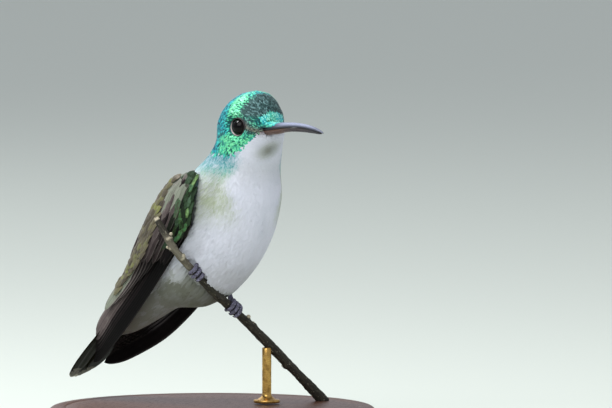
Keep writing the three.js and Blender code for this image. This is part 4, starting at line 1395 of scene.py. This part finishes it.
t = np.linspace(0, 1, FEATHER_ROWS)
seen_at = spine[:, 3]
strayed = smooth(span(seen_at - in_head(5.0, 0, -2.0)), 3.2, 6)[:, None]  # none stray on the chin
marks = markings(seen_at + strayed * quills.normal(0, 0.18, seen_at.shape), share_near(seen_at))
marks["tone"] = quills.random(count)
green = np.where(root_share > 0.42, marks["green"] > 0.5, marks["green"])
torn = (green > 0.05) & (green < 0.95)  # at the edge a feather is either green or white
green = np.where(torn, quills.random(count) < green, green)
marks["hue"] = np.where(torn & (green == 1), 0.45, marks["hue"])
marks["green"] = green
lift = (0.03 + lerp(0.035, 0.015, soft) * length) * (0.8 + 0.4 * quills.random(count))
height = -0.85 * depth[:, None] * (1 - t) ** 3.5 + lift[:, None] * t - 0.04
height = np.where(root_share[:, None] > 0.9, np.maximum(height, -0.1), height)
height = height + puff * (0.75 + 0.25 * t)
over = np.where(over_arm > 0, np.minimum(over_arm, HIGHEST) + 0.08 + 0.1 * t, -FAR)
height = np.maximum(height, over)
blunt = lerp(0.35, 1, smooth(t, 0, 0.45)) * rounded(t, 0.62, 0.4, 0.03)
oval = lerp(0.4, 1, smooth(t, 0, 0.5)) * rounded(t, 0.5, 0.53, 0.03)
shape = lerp(blunt, oval, soft[:, None])[..., None]
width = half[:, None, None] * shape * RING_ACROSS
thick = (0.025 + 0.006 * length)[:, None, None] * np.array([0, 0.5, 0, -0.5])
section = (lerp(0.22, 0.14, soft) * half)[:, None, None] * shape * RING_TOP + thick
along_way = unit(np.gradient(spine, axis=1))
side_way = unit(np.cross(outward, along_way))
along_way, side_way, out = along_way[:, :, None], side_way[:, :, None], outward[:, :, None]
feather_rings = (
    spine[:, :, None] + out * (height[..., None] + section)[..., None]
    + side_way * width[..., None]
)

# The vanes catch light as one soft coat: they face mostly out of the body, a little round.
bow = lerp(0.75, 0.3, soft)[:, None, None, None]
facing = out + side_way * RING_ACROSS[:, None] * bow
facing = facing + along_way * (t - 0.55)[:, None, None] * bow * 0.8
facing = unit(facing + quills.normal(0, 0.09, (count, 1, 1, 3)))
facing[:, :, 3] = -outward

start = -1
for name, slot, end in TRACTS:
    chosen = (root_share >= start) & (root_share < end)
    start, number = end, chosen.sum()
    points = FEATHER_ROWS * len(RING_ACROSS)
    along = np.tile(np.repeat(t, len(RING_ACROSS)), number)
    across = np.tile(RING_ACROSS, number * FEATHER_ROWS)
    coat = made(
        f"feathers_{name}", loft(feather_rings[chosen]), feathered, facing[chosen].reshape(-1, 3),
        along=along, across=across, root=np.repeat(roots[chosen], points, axis=0),
        **{key: np.repeat(values[chosen], points) for key, values in marks.items()},
    )
    patch = np.stack([
        np.repeat(root_turn[chosen], points) + across * 0.0015,
        np.repeat(root_share[chosen], points) + (along - 0.5) * 0.003,
    ], -1)
    corner = np.zeros(len(coat.data.loops), np.int32)
    coat.data.loops.foreach_get("vertex_index", corner)
    bake_map = coat.data.uv_layers.new(name="OFBake")
    bake_map.data.foreach_set("uv", patch[corner].astype(np.float32).ravel())
    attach(coat, "root")

# ---------------------------------------------------------------- floor, lamps and camera
# A pale grey-green floor, one big soft lamp overhead and soft light from all round.

FLOOR_RADIUS, CAMERA_APART, VIEW_WIDTH = 9, 2.4, 0.11934  # these sizes are in metres
FLOOR_SIDES, SKY_STRENGTH = 96, 0.6
SENSOR = 36  # the camera's, in millimetres


def matt_floor(w):
    grain = w.node("TexCoord", out="Object").noise(900, 2)
    colour = (grain * 0.1).between("#d6dcd2", "#cad0c5")
    return {"Base Color": colour, "Roughness": 0.85 + 0.1 * grain}


def aimed(name, data, azimuth, elevation, apart, target):
    """A lamp or a camera that stands this far from its target and looks at it."""
    thing = placed(name, data)
    a, e = math.radians(azimuth), math.radians(elevation)
    back = Vector((math.sin(a) * math.cos(e), -math.cos(a) * math.cos(e), math.sin(e)))
    thing.location = Vector(target) + back * apart
    thing.rotation_euler = (-back).to_track_quat("-Z", "Y").to_euler()
    return thing


disc = bpy.data.meshes.new("floor")
rim = [(FLOOR_RADIUS * math.cos(a), FLOOR_RADIUS * math.sin(a), 0) for a in full_turn(FLOOR_SIDES)]
disc.from_pydata(rim, [], [list(range(FLOOR_SIDES))])
disc.materials.append(finish("matt floor", matt_floor, Specular_IOR_Level=0.2))
placed("floor", disc)

world = bpy.data.worlds.new("studio")
world.use_nodes = True
bpy.context.scene.world = world
sky = world.node_tree.nodes["Background"].inputs
seen = Wire(world.node_tree).node("LightPath", out="Is Camera Ray")
sky["Strength"].default_value = SKY_STRENGTH
world.node_tree.links.new(seen.between("#eff3fd", "#ffffff").socket, sky["Color"])

for name, azimuth, elevation, apart, size, share, colour in (  # share of full light on the bird
    ("key_lamp", 14, 44, 0.7, 0.5, 0.54, (1, 0.99, 0.98)),
    ("catch_lamp", -50, 62, 0.5, 0.12, 0.7, (0.95, 0.97, 1)),
    ("rim_lamp", 250, 35, 0.8, 0.5, 0.15, (0.95, 0.98, 1)),
):
    light = bpy.data.lights.new(name, "AREA")
    light.size, light.color, light.energy = size, colour, share * (math.pi * apart) ** 2
    aimed(name, light, azimuth, elevation, apart, (0, 0, 0.04))

view = bpy.data.cameras.new("camera")
view.sensor_width, view.clip_end = SENSOR, 60
view.lens = SENSOR * CAMERA_APART / VIEW_WIDTH
camera = aimed("camera", view, 38, 4, CAMERA_APART, (0.0125, 0.0137, 0.0443))
bpy.context.scene.camera = camera
bpy.context.scene.view_settings.view_transform = "Standard"
